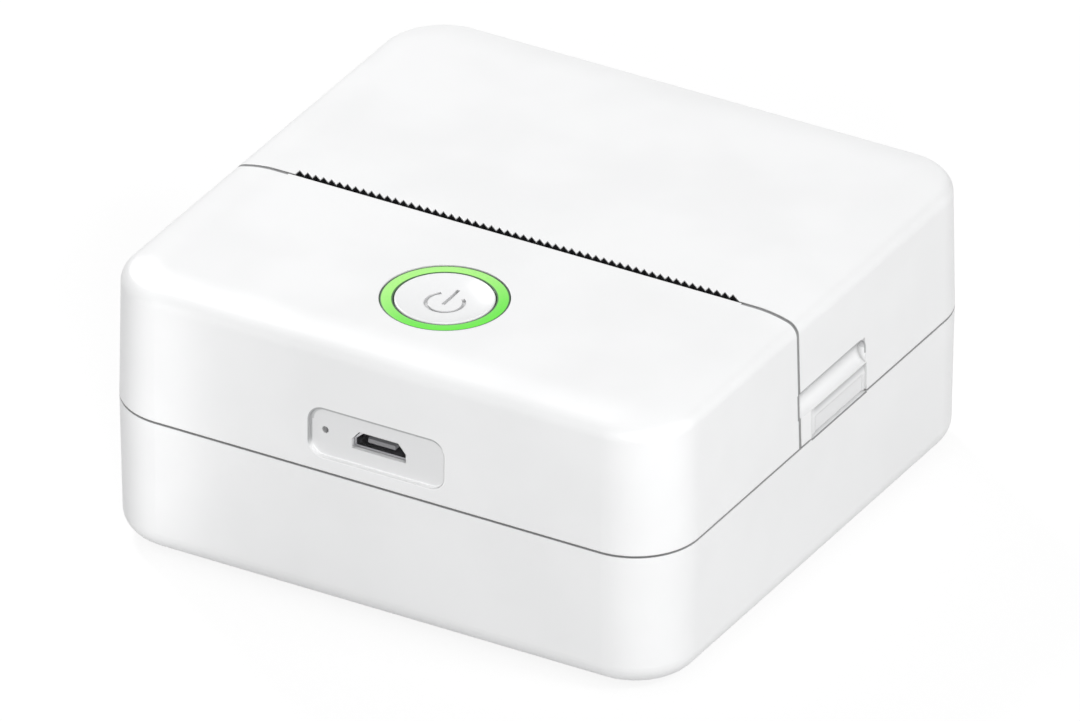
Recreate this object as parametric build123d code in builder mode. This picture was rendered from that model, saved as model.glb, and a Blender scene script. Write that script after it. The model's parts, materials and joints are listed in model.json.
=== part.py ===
from build123d import *
import os
from math import atan2, cos, hypot, pi, radians, sin, tan

# Portable thermal printer for 57 mm paper rolls, a clamshell that opens at the back.
# Millimetres. +X runs to the right along the front face, +Y to the back and +Z up.
# The origin is on the table, under the middle of the casing.

# Casing
WIDTH = 80.0  # at the seam, where the casing is widest
DEPTH = 78.7
BASE_HEIGHT = 18.7  # from the casing's underside to the seam
TOP_HEIGHT = 18.25  # from the seam to the top face
CORNER_R = 8.7  # plan corners at the seam
DRAFT = 1.0  # degrees, on both halves
WALL = 1.6
FLOOR = 1.8
BOTTOM_EDGE_R = 3.0
CROWN_RUN = 3.7  # the top edge falls away over this width
CROWN_DROP = 1.06
CROWN_R = 15.8  # soft round between the top face and the fall
SHOULDER_R = 1.9  # tighter round from the fall into the wall
SEAM_GAP = 0.3  # shadow line between the halves
LIP_OUTER = 0.75  # the upper shells' skirt outside the base's tongue
LIP_GAP = 0.15
LIP_HEIGHT = 1.2
LIP_STOP = 11.35  # the tongue stops this far from the back, in front of the hinge
TONGUE_ROOT = 0.4
FOOT_D = 8.0
FOOT_PROUD = 0.6
FOOT_IN_X = 13.0  # centres, in from the sides
FOOT_IN_Y = 7.85

# Parting line between the fixed front and the cover, across the top
PARTING_FROM_BACK = 45.05  # on the top face
PARTING_LEAN = 0.3  # it lies this much farther back at the seam
PARTING_GAP = 0.3

# Paper outlet and its saw-toothed tear edge
NOTCH_COUNT = 55
NOTCH_PITCH = 1.13
NOTCH_BASE = 1.74
NOTCH_DEEP = 1.27  # from the parting line to the bottom of a notch
NOTCH_LEAN = 0.03  # the bottom lies this far right of the notch's left corner
NOTCH_SHIFT = 0.2  # the row sits this far right of the middle
TOOTH_SKIN = 0.15  # the cover's white skin over the black tear bar
TEAR_BAR_D = 6.0
TEAR_BAR_W = 64.4
TEAR_BAR_BACK = 0.02  # the bar's teeth hide this far behind the skin's

# Power button and the light ring round it
BUTTON_FROM_FRONT = 16.65
BUTTON_R = 6.2
BUTTON_GAP = 0.1
BUTTON_DISH = 0.45
BUTTON_RIM = 0.5
BUTTON_FLAT_R = 4.6  # flat middle of the dish
BUTTON_SKIRT = 2.6
BUTTON_SKIN = 1.0
BUTTON_STEM_R = 1.6
BUTTON_TRAVEL = 0.4
RING_R = 8.0
RING_GAP = 0.05
LED_T = 0.7

# Charging panel on the front face
PANEL_W = 19.0
PANEL_H = 6.7
PANEL_R = 2.0
PANEL_DEEP = 0.55
PANEL_RISE = 5.375  # centre of the panel above the seam
PORT_W = 7.4
PORT_TOP_W = 5.3
PORT_H = 2.3
PORT_WALL = 0.25
PORT_DEEP = 4.9
PORT_BACK = 0.6  # the socket's mouth lies this far behind the panel
PORT_CLEAR = 0.08
TONGUE_W = 3.8
TONGUE_T = 0.55
TONGUE_BACK = 0.2
PINHOLE_X = -7.5
PINHOLE_RISE = 5.6
PINHOLE_D = 0.9
RESET_TRAVEL = 0.3

# Finger grips in the cover's sides, lengths from the parting line and heights above the seam
GRIP_END = 16.3
SCOOP_TOP = 7.6
SCOOP_LOW = 4.1
SCOOP_DEEP = 1.0
SCOOP_CORNER_R = 1.5
POCKET_START = 3.0
POCKET_END = 16.6
POCKET_TOP = 3.95
POCKET_DEEP = 0.5  # behind the lip; it slopes out to the step
POCKET_FOOT = 0.2
STEP_START = 4.3
STEP_END = 16.0
STEP_TOP = 2.4
STEP_DEEP = 0.15
GRIP_PAD_T = 1.2
GRIP_PAD_START = 2.2

# Hinge along the bottom of the cover's back wall
HINGE_R = 2.2  # bead round the axis
HINGE_END = 10.0  # from the side of the casing to the end of the bead
HINGE_PIN_D = 1.5
HINGE_PIN_L = 17.0
KNUCKLE_IN = 10.0  # its middle, from the end of the bead
KNUCKLE_W = 7.0
KNUCKLE_R = 2.0
KNUCKLE_GAP = 0.3
RUNNING = 0.05  # radial clearance of a pin that turns

# Paper roll and its bay
ROLL_D = 30.0
ROLL_CLEAR = 0.4
BAY_WALL = 1.0
BAY_SIDE = 1.2
BAY_INSIDE = 58.6
BAY_FROM_BACK = 34.45  # the trough's front edge
BAY_BELOW_SEAM = 0.6
RIB = 1.0  # ribs that hold the bay and the battery off the floor

# Platen roller in the cover
PLATEN_D = 8.0
PLATEN_L = 58.0
PLATEN_DROP = 9.5  # axis below the top face
PLATEN_SET_BACK = 0.55  # rubber behind the parting line
SHAFT_D = 3.0
BUSH_D = 6.0
BUSH_SLACK = 0.03
ARM_T = 1.4
ARM_R = 3.7
ARM_GAP = 0.6
SLOT_CLEAR = 0.15
GUARD_GAP = 0.7
GUARD_T = 1.0
BRIDGE_D = 14.0  # of the bracket over the roller
BRIDGE_SET_BACK = 1.25  # behind the print line

# Print head
HEAD_GAP = 0.3
HEAD_W = 58.0
CERAMIC_T = 0.7
CERAMIC_H = 9.4
CERAMIC_BELOW = 3.85  # its lower edge under the platen's axis
HEATSINK_T = 1.9
HEATSINK_H = 12.0
HEAD_TOP_DROP = 3.55  # its upper edge below the top face
HEAD_PIN_D = 1.5
HEAD_PIN_BELOW = 7.65  # under the platen's axis
HEAD_PIN_FRONT = 2.45  # in front of the heatsink's back face
EAR_T = 1.2
EAR_R = 1.6
SPRING_T = 0.35
SPRING_GAP = 0.4

# Mechanism frame and the gears on its left side
PLATE_T = 1.4
PLATE_GAP = 0.6  # bracket arm to side plate
CROSS_T = 1.4
CROSS_GAP = 3.45  # heatsink to cross wall
GUIDE_T = 1.0
GUIDE_DROP = 0.55  # the slot's front lip below the ceiling
GEAR_MODULE = 0.5
GEAR_T = 1.5
GEAR_GAP = 0.8  # side plate to the first row of gears
ROW_GAP = 0.5
MESH_SLACK = 0.1  # added to each centre distance
BACKLASH = 0.09
PLATEN_TEETH = 22
IDLER_TEETH = 24
SMALL_TEETH = 12
LARGE_TEETH = 36
PINION_TEETH = 12
COMPOUND_WAY = 198.0  # degrees, from the idler, in the plane of the gears
PINION_WAY = 188.0  # degrees, from the compound gear
STUD_D = 2.0
MOTOR_D = 15.0
MOTOR_L = 11.5
MOTOR_BOSS_D = 5.0
MOTOR_SHAFT_D = 1.5
MOTOR_PLATE_MARGIN = 6.2

# Boards and battery
BOARD_T = 1.2
BOARD_W = 58.0
BOARD_FROM_FRONT = 2.35
KEY_BOARD_W = 24.0
KEY_BOARD_D = 18.4
KEY_BOARD_T = 1.0
KEY_BOARD_DROP = 5.95  # its top below the top face
SWITCH_W = 6.0
SWITCH_H = 2.5
PLUNGER_R = 1.7
PLUNGER_PROUD = 0.3
BATTERY_L = 43.0
BATTERY_D = 19.0
BATTERY_T = 9.0
BATTERY_X = 4.6
BATTERY_FROM_FRONT = 12.45

# Fastenings
POST_D = 1.4  # posts of both halves that grip the main board between them
POST_GAP = 0.3  # from the motor to the rear posts
COVER_RIB_L = 22.0
COVER_RIB_GAP = 1.7  # behind the platen bracket
KEY_RIB_D = 2.0
CLIP_W = 5.0  # hooks that hold the key board
CLIP_GAP = 0.2
CLIP_HOOK = 0.6
BOSS_R = 2.2
CASE_BOSS_R = 2.4
BASE_BOSS_R = 3.0
CASE_SCREW_IN_X = 6.9
CASE_SCREW_FROM_FRONT = 5.4
CASE_SCREW_FROM_BACK = 10.35
FRONT_SEAT = 10.4  # above the casing's underside
REAR_SEAT = 2.4
REAR_BOSS_H = 3.6
FRONT_SCREW_L = 15.0
REAR_SCREW_L = 8.0
BRACKET_SCREW_L = 4.0
CASE_SHANK_R = 1.0
CASE_HEAD_R = 1.8
CASE_HEAD_H = 1.2
SMALL_SHANK_R = 0.8
SMALL_HEAD_R = 1.5
SMALL_HEAD_H = 0.9
HOLE_GAP = 0.1

# Levels and places that follow from the sizes above
CASE_Z = FOOT_PROUD
SEAM_Z = CASE_Z + BASE_HEIGHT
TOP_Z = SEAM_Z + TOP_HEIGHT
CEILING_Z = TOP_Z - WALL
FLOOR_Z = CASE_Z + FLOOR
BASE_RIM_Z = SEAM_Z - SEAM_GAP / 2
SKIRT_Z = SEAM_Z + SEAM_GAP / 2
SLOPE = tan(radians(DRAFT))
LIP_END_Y = DEPTH / 2 - LIP_STOP
FOOT_X = WIDTH / 2 - FOOT_IN_X
FOOT_Y = DEPTH / 2 - FOOT_IN_Y
PARTING_TOP_Y = DEPTH / 2 - PARTING_FROM_BACK
PARTING_SEAM_Y = PARTING_TOP_Y + PARTING_LEAN
BUTTON_Y = BUTTON_FROM_FRONT - DEPTH / 2
GRIP_END_Y = PARTING_TOP_Y + GRIP_END
POCKET_START_Y = PARTING_TOP_Y + POCKET_START
POCKET_END_Y = PARTING_TOP_Y + POCKET_END
STEP_START_Y = PARTING_TOP_Y + STEP_START
STEP_END_Y = PARTING_TOP_Y + STEP_END
GRIP_PAD_START_Y = PARTING_TOP_Y + GRIP_PAD_START
HINGE_Y = DEPTH / 2 - HINGE_R - 0.04
HINGE_Z = SKIRT_Z + HINGE_R
HINGE_HALF = WIDTH / 2 - HINGE_END
KNUCKLE_X = HINGE_HALF - KNUCKLE_IN
PLATEN_Y = PARTING_TOP_Y + PLATEN_SET_BACK + PLATEN_D / 2
PLATEN_Z = TOP_Z - PLATEN_DROP
BAY_R = ROLL_D / 2 + ROLL_CLEAR
BAY_OUT_R = BAY_R + BAY_WALL
BAY_TOP_Z = SEAM_Z - BAY_BELOW_SEAM
BAY_FRONT_Y = DEPTH / 2 - BAY_FROM_BACK
ROLL_Y = HINGE_Y - KNUCKLE_R - 0.2 - BAY_OUT_R
ROLL_Z = FLOOR_Z + RIB + BAY_OUT_R
ARM_X = PLATEN_L / 2 + ARM_GAP
GUARD_R = PLATEN_D / 2 + GUARD_GAP
PLATE_X = ARM_X + ARM_T + PLATE_GAP
PLATE_OUT_X = PLATE_X + PLATE_T
ROW_1_X = PLATE_OUT_X + GEAR_GAP
ROW_2_X = ROW_1_X + GEAR_T + ROW_GAP
PLATE_BOTTOM_Z = FLOOR_Z + 0.6
HEAD_FACE_Y = PLATEN_Y - PLATEN_D / 2 - HEAD_GAP
BRIDGE_Y = HEAD_FACE_Y + BRIDGE_SET_BACK
SINK_BACK_Y = HEAD_FACE_Y - CERAMIC_T
SINK_FRONT_Y = SINK_BACK_Y - HEATSINK_T
HEAD_PIN_Y = SINK_BACK_Y - HEAD_PIN_FRONT
HEAD_PIN_Z = PLATEN_Z - HEAD_PIN_BELOW
HEAD_TOP_Z = TOP_Z - HEAD_TOP_DROP
CROSS_Y = SINK_FRONT_Y - CROSS_GAP  # back face of the cross wall
GUIDE_Z = CEILING_Z - GUIDE_DROP - GUIDE_T
CROSS_BOTTOM_Z = FLOOR_Z + 2.6
PANEL_Z = SEAM_Z + PANEL_RISE
PANEL_Y = PANEL_RISE * SLOPE + PANEL_DEEP - DEPTH / 2
PINHOLE_Z = SEAM_Z + PINHOLE_RISE
BOARD_FRONT_Y = BOARD_FROM_FRONT - DEPTH / 2
BOARD_TOP_Z = PANEL_Z - PORT_H / 2
BOARD_Z = BOARD_TOP_Z - BOARD_T
KEY_BOARD_Z = TOP_Z - KEY_BOARD_DROP
BATTERY_Y = BATTERY_FROM_FRONT - DEPTH / 2
CASE_SCREW_X = WIDTH / 2 - CASE_SCREW_IN_X
CASE_SCREW_FRONT_Y = CASE_SCREW_FROM_FRONT - DEPTH / 2
CASE_SCREW_REAR_Y = DEPTH / 2 - CASE_SCREW_FROM_BACK
FRONT_SEAT_Z = CASE_Z + FRONT_SEAT
REAR_SEAT_Z = CASE_Z + REAR_SEAT
REAR_BOSS_Z = FLOOR_Z + REAR_BOSS_H
BRACKET_SCREW_X = PLATE_OUT_X + 1.6
BRACKET_SCREW_Y = PLATEN_Y + 8.75
LUG_TOP_Z = CEILING_Z - 2.75
LUG_T = 1.4


# Outlines and small helpers


def casing_plan(inset=0.0, mode=Mode.ADD):
    """The casing's rounded plan at the seam, drawn in by inset."""
    RectangleRounded(WIDTH - 2 * inset, DEPTH - 2 * inset, CORNER_R - inset, mode=mode)


def tongue_ring(inner, outer, end_y):
    """A band along the wall, between two insets, from the front to end_y."""
    casing_plan(outer)
    casing_plan(inner, Mode.SUBTRACT)
    with Locations((0, end_y)):
        Rectangle(WIDTH, DEPTH, align=(Align.CENTER, Align.MIN), mode=Mode.SUBTRACT)


def port_outline(grow=0.0):
    """The charging socket's outline, narrow side up, made larger all round by grow."""
    half = PORT_W / 2 + grow
    top_half = PORT_TOP_W / 2 + grow
    low = PANEL_Z - PORT_H / 2 - grow
    high = PANEL_Z + PORT_H / 2 + grow
    Polygon(
        (-half, low),
        (half, low),
        (half, PANEL_Z),
        (top_half, high),
        (-top_half, high),
        (-half, PANEL_Z),
        align=None,
    )


def notch_points(back=0.0):
    """The saw-toothed front edge of the tear slot in plan, moved back by back."""
    row = (NOTCH_COUNT - 1) * NOTCH_PITCH + NOTCH_BASE
    start = NOTCH_SHIFT - row / 2
    meet = 1 - NOTCH_PITCH / NOTCH_BASE  # where one notch runs into the next, from 0 to 1
    line = PARTING_TOP_Y + back
    points = [(start, line)]
    for number in range(NOTCH_COUNT):
        left = start + number * NOTCH_PITCH
        if number > 0:
            points.append((left + NOTCH_LEAN * meet, line + NOTCH_DEEP * meet))
        points.append((left + NOTCH_LEAN, line + NOTCH_DEEP))
    points.append((start + row, line))
    points.append((start + row, line - 2))
    points.append((start, line - 2))
    return points


def gear_points(teeth, phase):
    """Corners of a spur gear, with the middle of one tooth at the angle phase."""
    pitch_r = GEAR_MODULE * teeth / 2
    above = 0.9 * GEAR_MODULE
    below = 1.3 * GEAR_MODULE
    lean = tan(radians(20)) / pitch_r
    half = pi / (2 * teeth) - BACKLASH / pitch_r
    corners = (
        (pitch_r - below, -half - below * lean),
        (pitch_r + above, -half + above * lean),
        (pitch_r + above, half - above * lean),
        (pitch_r - below, half + below * lean),
    )
    points = []
    for number in range(teeth):
        middle = phase + 2 * pi * number / teeth
        for radius, turn in corners:
            points.append((radius * cos(middle + turn), radius * sin(middle + turn)))
    return points


def gear_face(teeth, phase, bore_r):
    """A gear's face with its bore, drawn round the current location."""
    Polygon(*gear_points(teeth, phase), align=None)
    Circle(bore_r, mode=Mode.SUBTRACT)


def mesh_phase(phase, teeth, way, next_teeth):
    """Phase that makes the next gear, which lies along way, mesh with this one."""
    return way + pi - (phase - way) * teeth / next_teeth + pi / next_teeth


def mesh_distance(teeth, next_teeth):
    return GEAR_MODULE * (teeth + next_teeth) / 2 + MESH_SLACK


def along(start, way, distance):
    """The point in the plane of Y and Z at a distance from start, along an angle."""
    return (start[0] + distance * cos(way), start[1] + distance * sin(way))


def screw_solid(head_r, head_h, shank_r, length):
    """A screw that points up, with the underside of its head at the origin."""
    with BuildPart() as screw:
        with BuildSketch(Plane.XY.offset(-head_h)):
            Circle(head_r)
        extrude(amount=head_h)
        with BuildSketch(Plane.XY):
            Circle(shank_r)
        extrude(amount=length)
    return screw.part


# Gear centres as (Y, Z), and the phases that mesh at rest
platen_at = (PLATEN_Y, PLATEN_Z)
lift_way = atan2(HINGE_Y - PLATEN_Y, PLATEN_Z - HINGE_Z)
idler_way = lift_way + pi
idler_at = along(platen_at, idler_way, mesh_distance(PLATEN_TEETH, IDLER_TEETH))
compound_way = radians(COMPOUND_WAY)
compound_at = along(idler_at, compound_way, mesh_distance(IDLER_TEETH, SMALL_TEETH))
pinion_way = radians(PINION_WAY)
motor_at = along(compound_at, pinion_way, mesh_distance(LARGE_TEETH, PINION_TEETH))
idler_phase = mesh_phase(idler_way, PLATEN_TEETH, idler_way, IDLER_TEETH)
small_phase = mesh_phase(idler_phase, IDLER_TEETH, compound_way, SMALL_TEETH)
pinion_phase = mesh_phase(pinion_way, LARGE_TEETH, pinion_way, PINION_TEETH)

# Places of the fastenings and feet in plan
BOARD_BACK_Y = motor_at[0] + MOTOR_D / 2 + POST_GAP + POST_D
COVER_RIB_Y = BRIDGE_Y + BRIDGE_D + COVER_RIB_GAP + COVER_RIB_L / 2
case_front = [(-CASE_SCREW_X, CASE_SCREW_FRONT_Y), (CASE_SCREW_X, CASE_SCREW_FRONT_Y)]
case_rear = [(-CASE_SCREW_X, CASE_SCREW_REAR_Y), (CASE_SCREW_X, CASE_SCREW_REAR_Y)]
post_x = BOARD_W / 2 - 1.0
front_post_y = BOARD_FRONT_Y + 0.4 + POST_D / 2
rear_post_y = BOARD_BACK_Y - POST_D / 2
board_posts = [(x, y) for x in (-post_x, post_x) for y in (front_post_y, rear_post_y)]
key_rib_y = KEY_BOARD_D / 2 - KEY_RIB_D / 2
key_ribs = [(x, BUTTON_Y + y) for x in (-8.0, 8.0) for y in (-key_rib_y, key_rib_y)]
bracket_screws_at = [(-BRACKET_SCREW_X, BRACKET_SCREW_Y), (BRACKET_SCREW_X, BRACKET_SCREW_Y)]
feet_at = [(x, y) for x in (-FOOT_X, FOOT_X) for y in (-FOOT_Y, FOOT_Y)]

# The two halves of the outer form, and the hollow of the upper one

with BuildPart() as lower_form:
    with BuildSketch(Plane(origin=(0, 0, BASE_RIM_Z), z_dir=(0, 0, -1))):
        casing_plan()
    extrude(amount=BASE_RIM_Z - CASE_Z, taper=DRAFT)
    fillet(lower_form.edges().group_by(Axis.Z)[0], BOTTOM_EDGE_R)

with BuildPart() as upper_form:
    with BuildSketch(Plane.XY.offset(SKIRT_Z)):
        casing_plan()
    extrude(amount=TOP_Z - SKIRT_Z, taper=DRAFT)
    top_face = upper_form.faces().sort_by(Axis.Z)[-1]
    chamfer(top_face.edges(), CROWN_RUN, CROWN_DROP, reference=top_face)
    fillet(upper_form.edges().group_by(Axis.Z)[-1], CROWN_R)
    shoulder_z = TOP_Z - CROWN_DROP
    fillet(
        upper_form.edges().filter_by_position(Axis.Z, shoulder_z - 0.05, shoulder_z + 0.05),
        SHOULDER_R,
    )

with BuildPart() as upper_hollow:
    with BuildSketch(Plane.XY.offset(SKIRT_Z)):
        casing_plan(WALL)
    extrude(amount=CEILING_Z - SKIRT_Z)
    ceiling = upper_hollow.faces().sort_by(Axis.Z)[-1]
    chamfer(ceiling.edges(), CROWN_RUN, CROWN_DROP, reference=ceiling)

parting_tilt = atan2(PARTING_SEAM_Y - PARTING_TOP_Y, TOP_HEIGHT)
parting = Plane(
    origin=(0, PARTING_SEAM_Y, SEAM_Z),
    x_dir=(1, 0, 0),
    z_dir=(0, cos(parting_tilt), sin(parting_tilt)),
)

# Base: a drafted tub with the tongue round its rim, screw bosses, ribs and two hinge knuckles

with BuildPart() as base_shell:
    add(lower_form.part)
    with BuildSketch(Plane.XY.offset(FLOOR_Z)):
        casing_plan(WALL)
    extrude(amount=BASE_RIM_Z - FLOOR_Z, mode=Mode.SUBTRACT)
    with BuildSketch(Plane.XY.offset(BASE_RIM_Z - TONGUE_ROOT)):
        tongue_ring(WALL, LIP_OUTER + LIP_GAP, LIP_END_Y)
    extrude(amount=SEAM_Z + LIP_HEIGHT - BASE_RIM_Z + TONGUE_ROOT)
    with BuildSketch(Plane.XY.offset(FLOOR_Z)):
        with Locations(*case_front):
            Circle(BASE_BOSS_R)
    extrude(amount=SEAM_Z - FLOOR_Z)
    with BuildSketch(Plane.XY.offset(FLOOR_Z)):
        with Locations(*case_rear):
            Circle(BASE_BOSS_R)
    extrude(amount=REAR_BOSS_H)
    with BuildSketch(Plane.XY.offset(FLOOR_Z)):
        with Locations(*board_posts):
            Rectangle(1.2, POST_D)
    extrude(amount=BOARD_Z - FLOOR_Z)
    with BuildSketch(Plane.XY.offset(FLOOR_Z)):
        with Locations((-PLATE_X - PLATE_T / 2, PLATEN_Y), (PLATE_X + PLATE_T / 2, PLATEN_Y)):
            Rectangle(PLATE_T + 1.6, 6.0)
    extrude(amount=PLATE_BOTTOM_Z - FLOOR_Z)
    with BuildSketch(Plane.XY.offset(FLOOR_Z)):
        with Locations((-18.0, ROLL_Y), (0, ROLL_Y), (18.0, ROLL_Y)):
            Rectangle(1.4, 16.0)
        with Locations((BATTERY_X, BATTERY_Y - 6.0), (BATTERY_X, BATTERY_Y + 6.0)):
            Rectangle(BATTERY_L, 1.4)
    extrude(amount=RIB)
    for knuckle_x in (-KNUCKLE_X, KNUCKLE_X):
        with BuildSketch(Plane.YZ.offset(knuckle_x - KNUCKLE_W / 2)):
            with Locations((HINGE_Y, HINGE_Z)):
                Circle(KNUCKLE_R)
            Polygon(
                (HINGE_Y - KNUCKLE_R, HINGE_Z),
                (HINGE_Y - KNUCKLE_R, BASE_RIM_Z - 6.0),
                (DEPTH / 2 - WALL, BASE_RIM_Z - 11.0),
                (DEPTH / 2 - WALL / 2, BASE_RIM_Z - 11.0),
                (DEPTH / 2 - WALL / 2, BASE_RIM_Z - 1.0),
                (HINGE_Y + KNUCKLE_R, BASE_RIM_Z - 1.0),
                (HINGE_Y + KNUCKLE_R, HINGE_Z),
                align=None,
            )
        extrude(amount=KNUCKLE_W)
    with BuildSketch(Plane.YZ):
        with Locations((HINGE_Y, HINGE_Z)):
            Circle(HINGE_PIN_D / 2 + RUNNING)
    extrude(amount=HINGE_HALF, both=True, mode=Mode.SUBTRACT)
    with BuildSketch(Plane.XY.offset(CASE_Z)):
        with Locations(*case_front, *case_rear):
            Circle(CASE_SHANK_R + HOLE_GAP)
    extrude(amount=BASE_HEIGHT + 1, mode=Mode.SUBTRACT)
    with BuildSketch(Plane.XY.offset(CASE_Z)):
        with Locations(*case_front):
            Circle(CASE_HEAD_R + 2 * HOLE_GAP)
    extrude(amount=FRONT_SEAT, mode=Mode.SUBTRACT)
    with BuildSketch(Plane.XY.offset(CASE_Z)):
        with Locations(*case_rear):
            Circle(CASE_HEAD_R + 2 * HOLE_GAP)
    extrude(amount=REAR_SEAT, mode=Mode.SUBTRACT)

# Front shell: the fixed upper half in front of the parting line

with BuildPart() as front_shell:
    add(upper_form.part)
    add(upper_hollow.part, mode=Mode.SUBTRACT)
    with BuildSketch(Plane.XY.offset(SKIRT_Z)):
        tongue_ring(WALL + LIP_GAP, LIP_OUTER, DEPTH)
    extrude(amount=SEAM_Z + LIP_HEIGHT - SKIRT_Z, mode=Mode.SUBTRACT)
    split(bisect_by=parting.offset(-PARTING_GAP / 2), keep=Keep.BOTTOM)
    with BuildSketch(Plane.XY.offset(SEAM_Z)):
        with Locations(*case_front):
            Circle(CASE_BOSS_R)
    extrude(amount=CEILING_Z - SEAM_Z)
    with BuildSketch(Plane.XY.offset(BOARD_TOP_Z)):
        with Locations(*board_posts):
            Rectangle(1.2, POST_D)
    extrude(amount=CEILING_Z - BOARD_TOP_Z)
    with BuildSketch(Plane.XY.offset(KEY_BOARD_Z)):
        with Locations(*key_ribs):
            Rectangle(1.2, KEY_RIB_D)
    extrude(amount=CEILING_Z - KEY_BOARD_Z)
    for side in (-1, 1):
        with BuildSketch(Plane.XZ.offset(-BUTTON_Y - CLIP_W / 2)):
            Polygon(
                (side * (KEY_BOARD_W / 2 + CLIP_GAP), CEILING_Z + 0.2),
                (side * (KEY_BOARD_W / 2 + CLIP_GAP), KEY_BOARD_Z - KEY_BOARD_T - CLIP_GAP),
                (side * (KEY_BOARD_W / 2 - CLIP_HOOK), KEY_BOARD_Z - KEY_BOARD_T - CLIP_GAP),
                (side * (KEY_BOARD_W / 2 + CLIP_GAP), KEY_BOARD_Z - KEY_BOARD_T - 1.6),
                (side * (KEY_BOARD_W / 2 + CLIP_GAP + 1.2), KEY_BOARD_Z - KEY_BOARD_T - 1.6),
                (side * (KEY_BOARD_W / 2 + CLIP_GAP + 1.2), CEILING_Z + 0.2),
                align=None,
            )
        extrude(amount=CLIP_W)
    with BuildSketch(Plane.XY.offset(SEAM_Z)):
        with Locations(*case_front):
            Circle(CASE_SHANK_R)
    extrude(amount=FRONT_SEAT_Z + FRONT_SCREW_L - SEAM_Z, mode=Mode.SUBTRACT)
    with BuildSketch(Plane.XY.offset(CEILING_Z - 1)):
        with Locations((0, BUTTON_Y)):
            Circle(RING_R + RING_GAP)
    extrude(amount=WALL + 2, mode=Mode.SUBTRACT)
    with BuildSketch(Plane.XZ.offset(-PANEL_Y)):
        with Locations((0, PANEL_Z)):
            RectangleRounded(PANEL_W, PANEL_H, PANEL_R)
    extrude(amount=WALL, mode=Mode.SUBTRACT)
    with BuildSketch(Plane.XZ.offset(-PANEL_Y)):
        port_outline(PORT_CLEAR)
        with Locations((PINHOLE_X, PINHOLE_Z)):
            Circle(PINHOLE_D / 2)
    extrude(amount=-2 * WALL, mode=Mode.SUBTRACT)

# Cover: the hinged upper half behind the parting line

scoop_chord = SCOOP_TOP - SCOOP_LOW
scoop_r = (scoop_chord**2 / 4 + SCOOP_DEEP**2) / (2 * SCOOP_DEEP)
scoop_z = SEAM_Z + (SCOOP_TOP + SCOOP_LOW) / 2
scoop_x = WIDTH / 2 - (scoop_z - SEAM_Z) * SLOPE + scoop_r - SCOOP_DEEP
wall_x = WIDTH / 2 - POCKET_TOP * SLOPE

with BuildPart() as grip_cut:
    with BuildSketch(Plane.XZ.offset(-GRIP_END_Y)):
        with Locations((scoop_x, scoop_z)):
            Circle(scoop_r)
    extrude(amount=GRIP_END_Y - PARTING_TOP_Y + 1)
    with BuildSketch(Plane.YZ.offset(WIDTH / 2 - 2 * SCOOP_DEEP)) as scoop_side:
        with Locations((GRIP_END_Y, SEAM_Z + SCOOP_LOW - 1)):
            Rectangle(
                GRIP_END_Y - PARTING_TOP_Y + 1,
                scoop_chord + 1,
                align=(Align.MAX, Align.MIN),
            )
        fillet(scoop_side.vertices().group_by(Axis.X)[-1].sort_by(Axis.Y)[-1], SCOOP_CORNER_R)
    extrude(amount=4 * SCOOP_DEEP, mode=Mode.INTERSECT)
    with BuildSketch(Plane.XZ.offset(-POCKET_END_Y)):
        Polygon(
            (wall_x - POCKET_DEEP, SEAM_Z + POCKET_TOP),
            (wall_x + 1, SEAM_Z + POCKET_TOP),
            (wall_x + 1, SKIRT_Z - 1),
            (wall_x - POCKET_FOOT, SKIRT_Z - 1),
            (wall_x - POCKET_FOOT, SEAM_Z + STEP_TOP),
            align=None,
        )
    extrude(amount=POCKET_END_Y - POCKET_START_Y)
    with BuildSketch(Plane.XZ.offset(-STEP_END_Y)):
        with Locations((wall_x - POCKET_FOOT - STEP_DEEP, SKIRT_Z - 1)):
            Rectangle(1.0, SEAM_Z + STEP_TOP - SKIRT_Z + 1, align=(Align.MIN, Align.MIN))
    extrude(amount=STEP_END_Y - STEP_START_Y)

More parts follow.
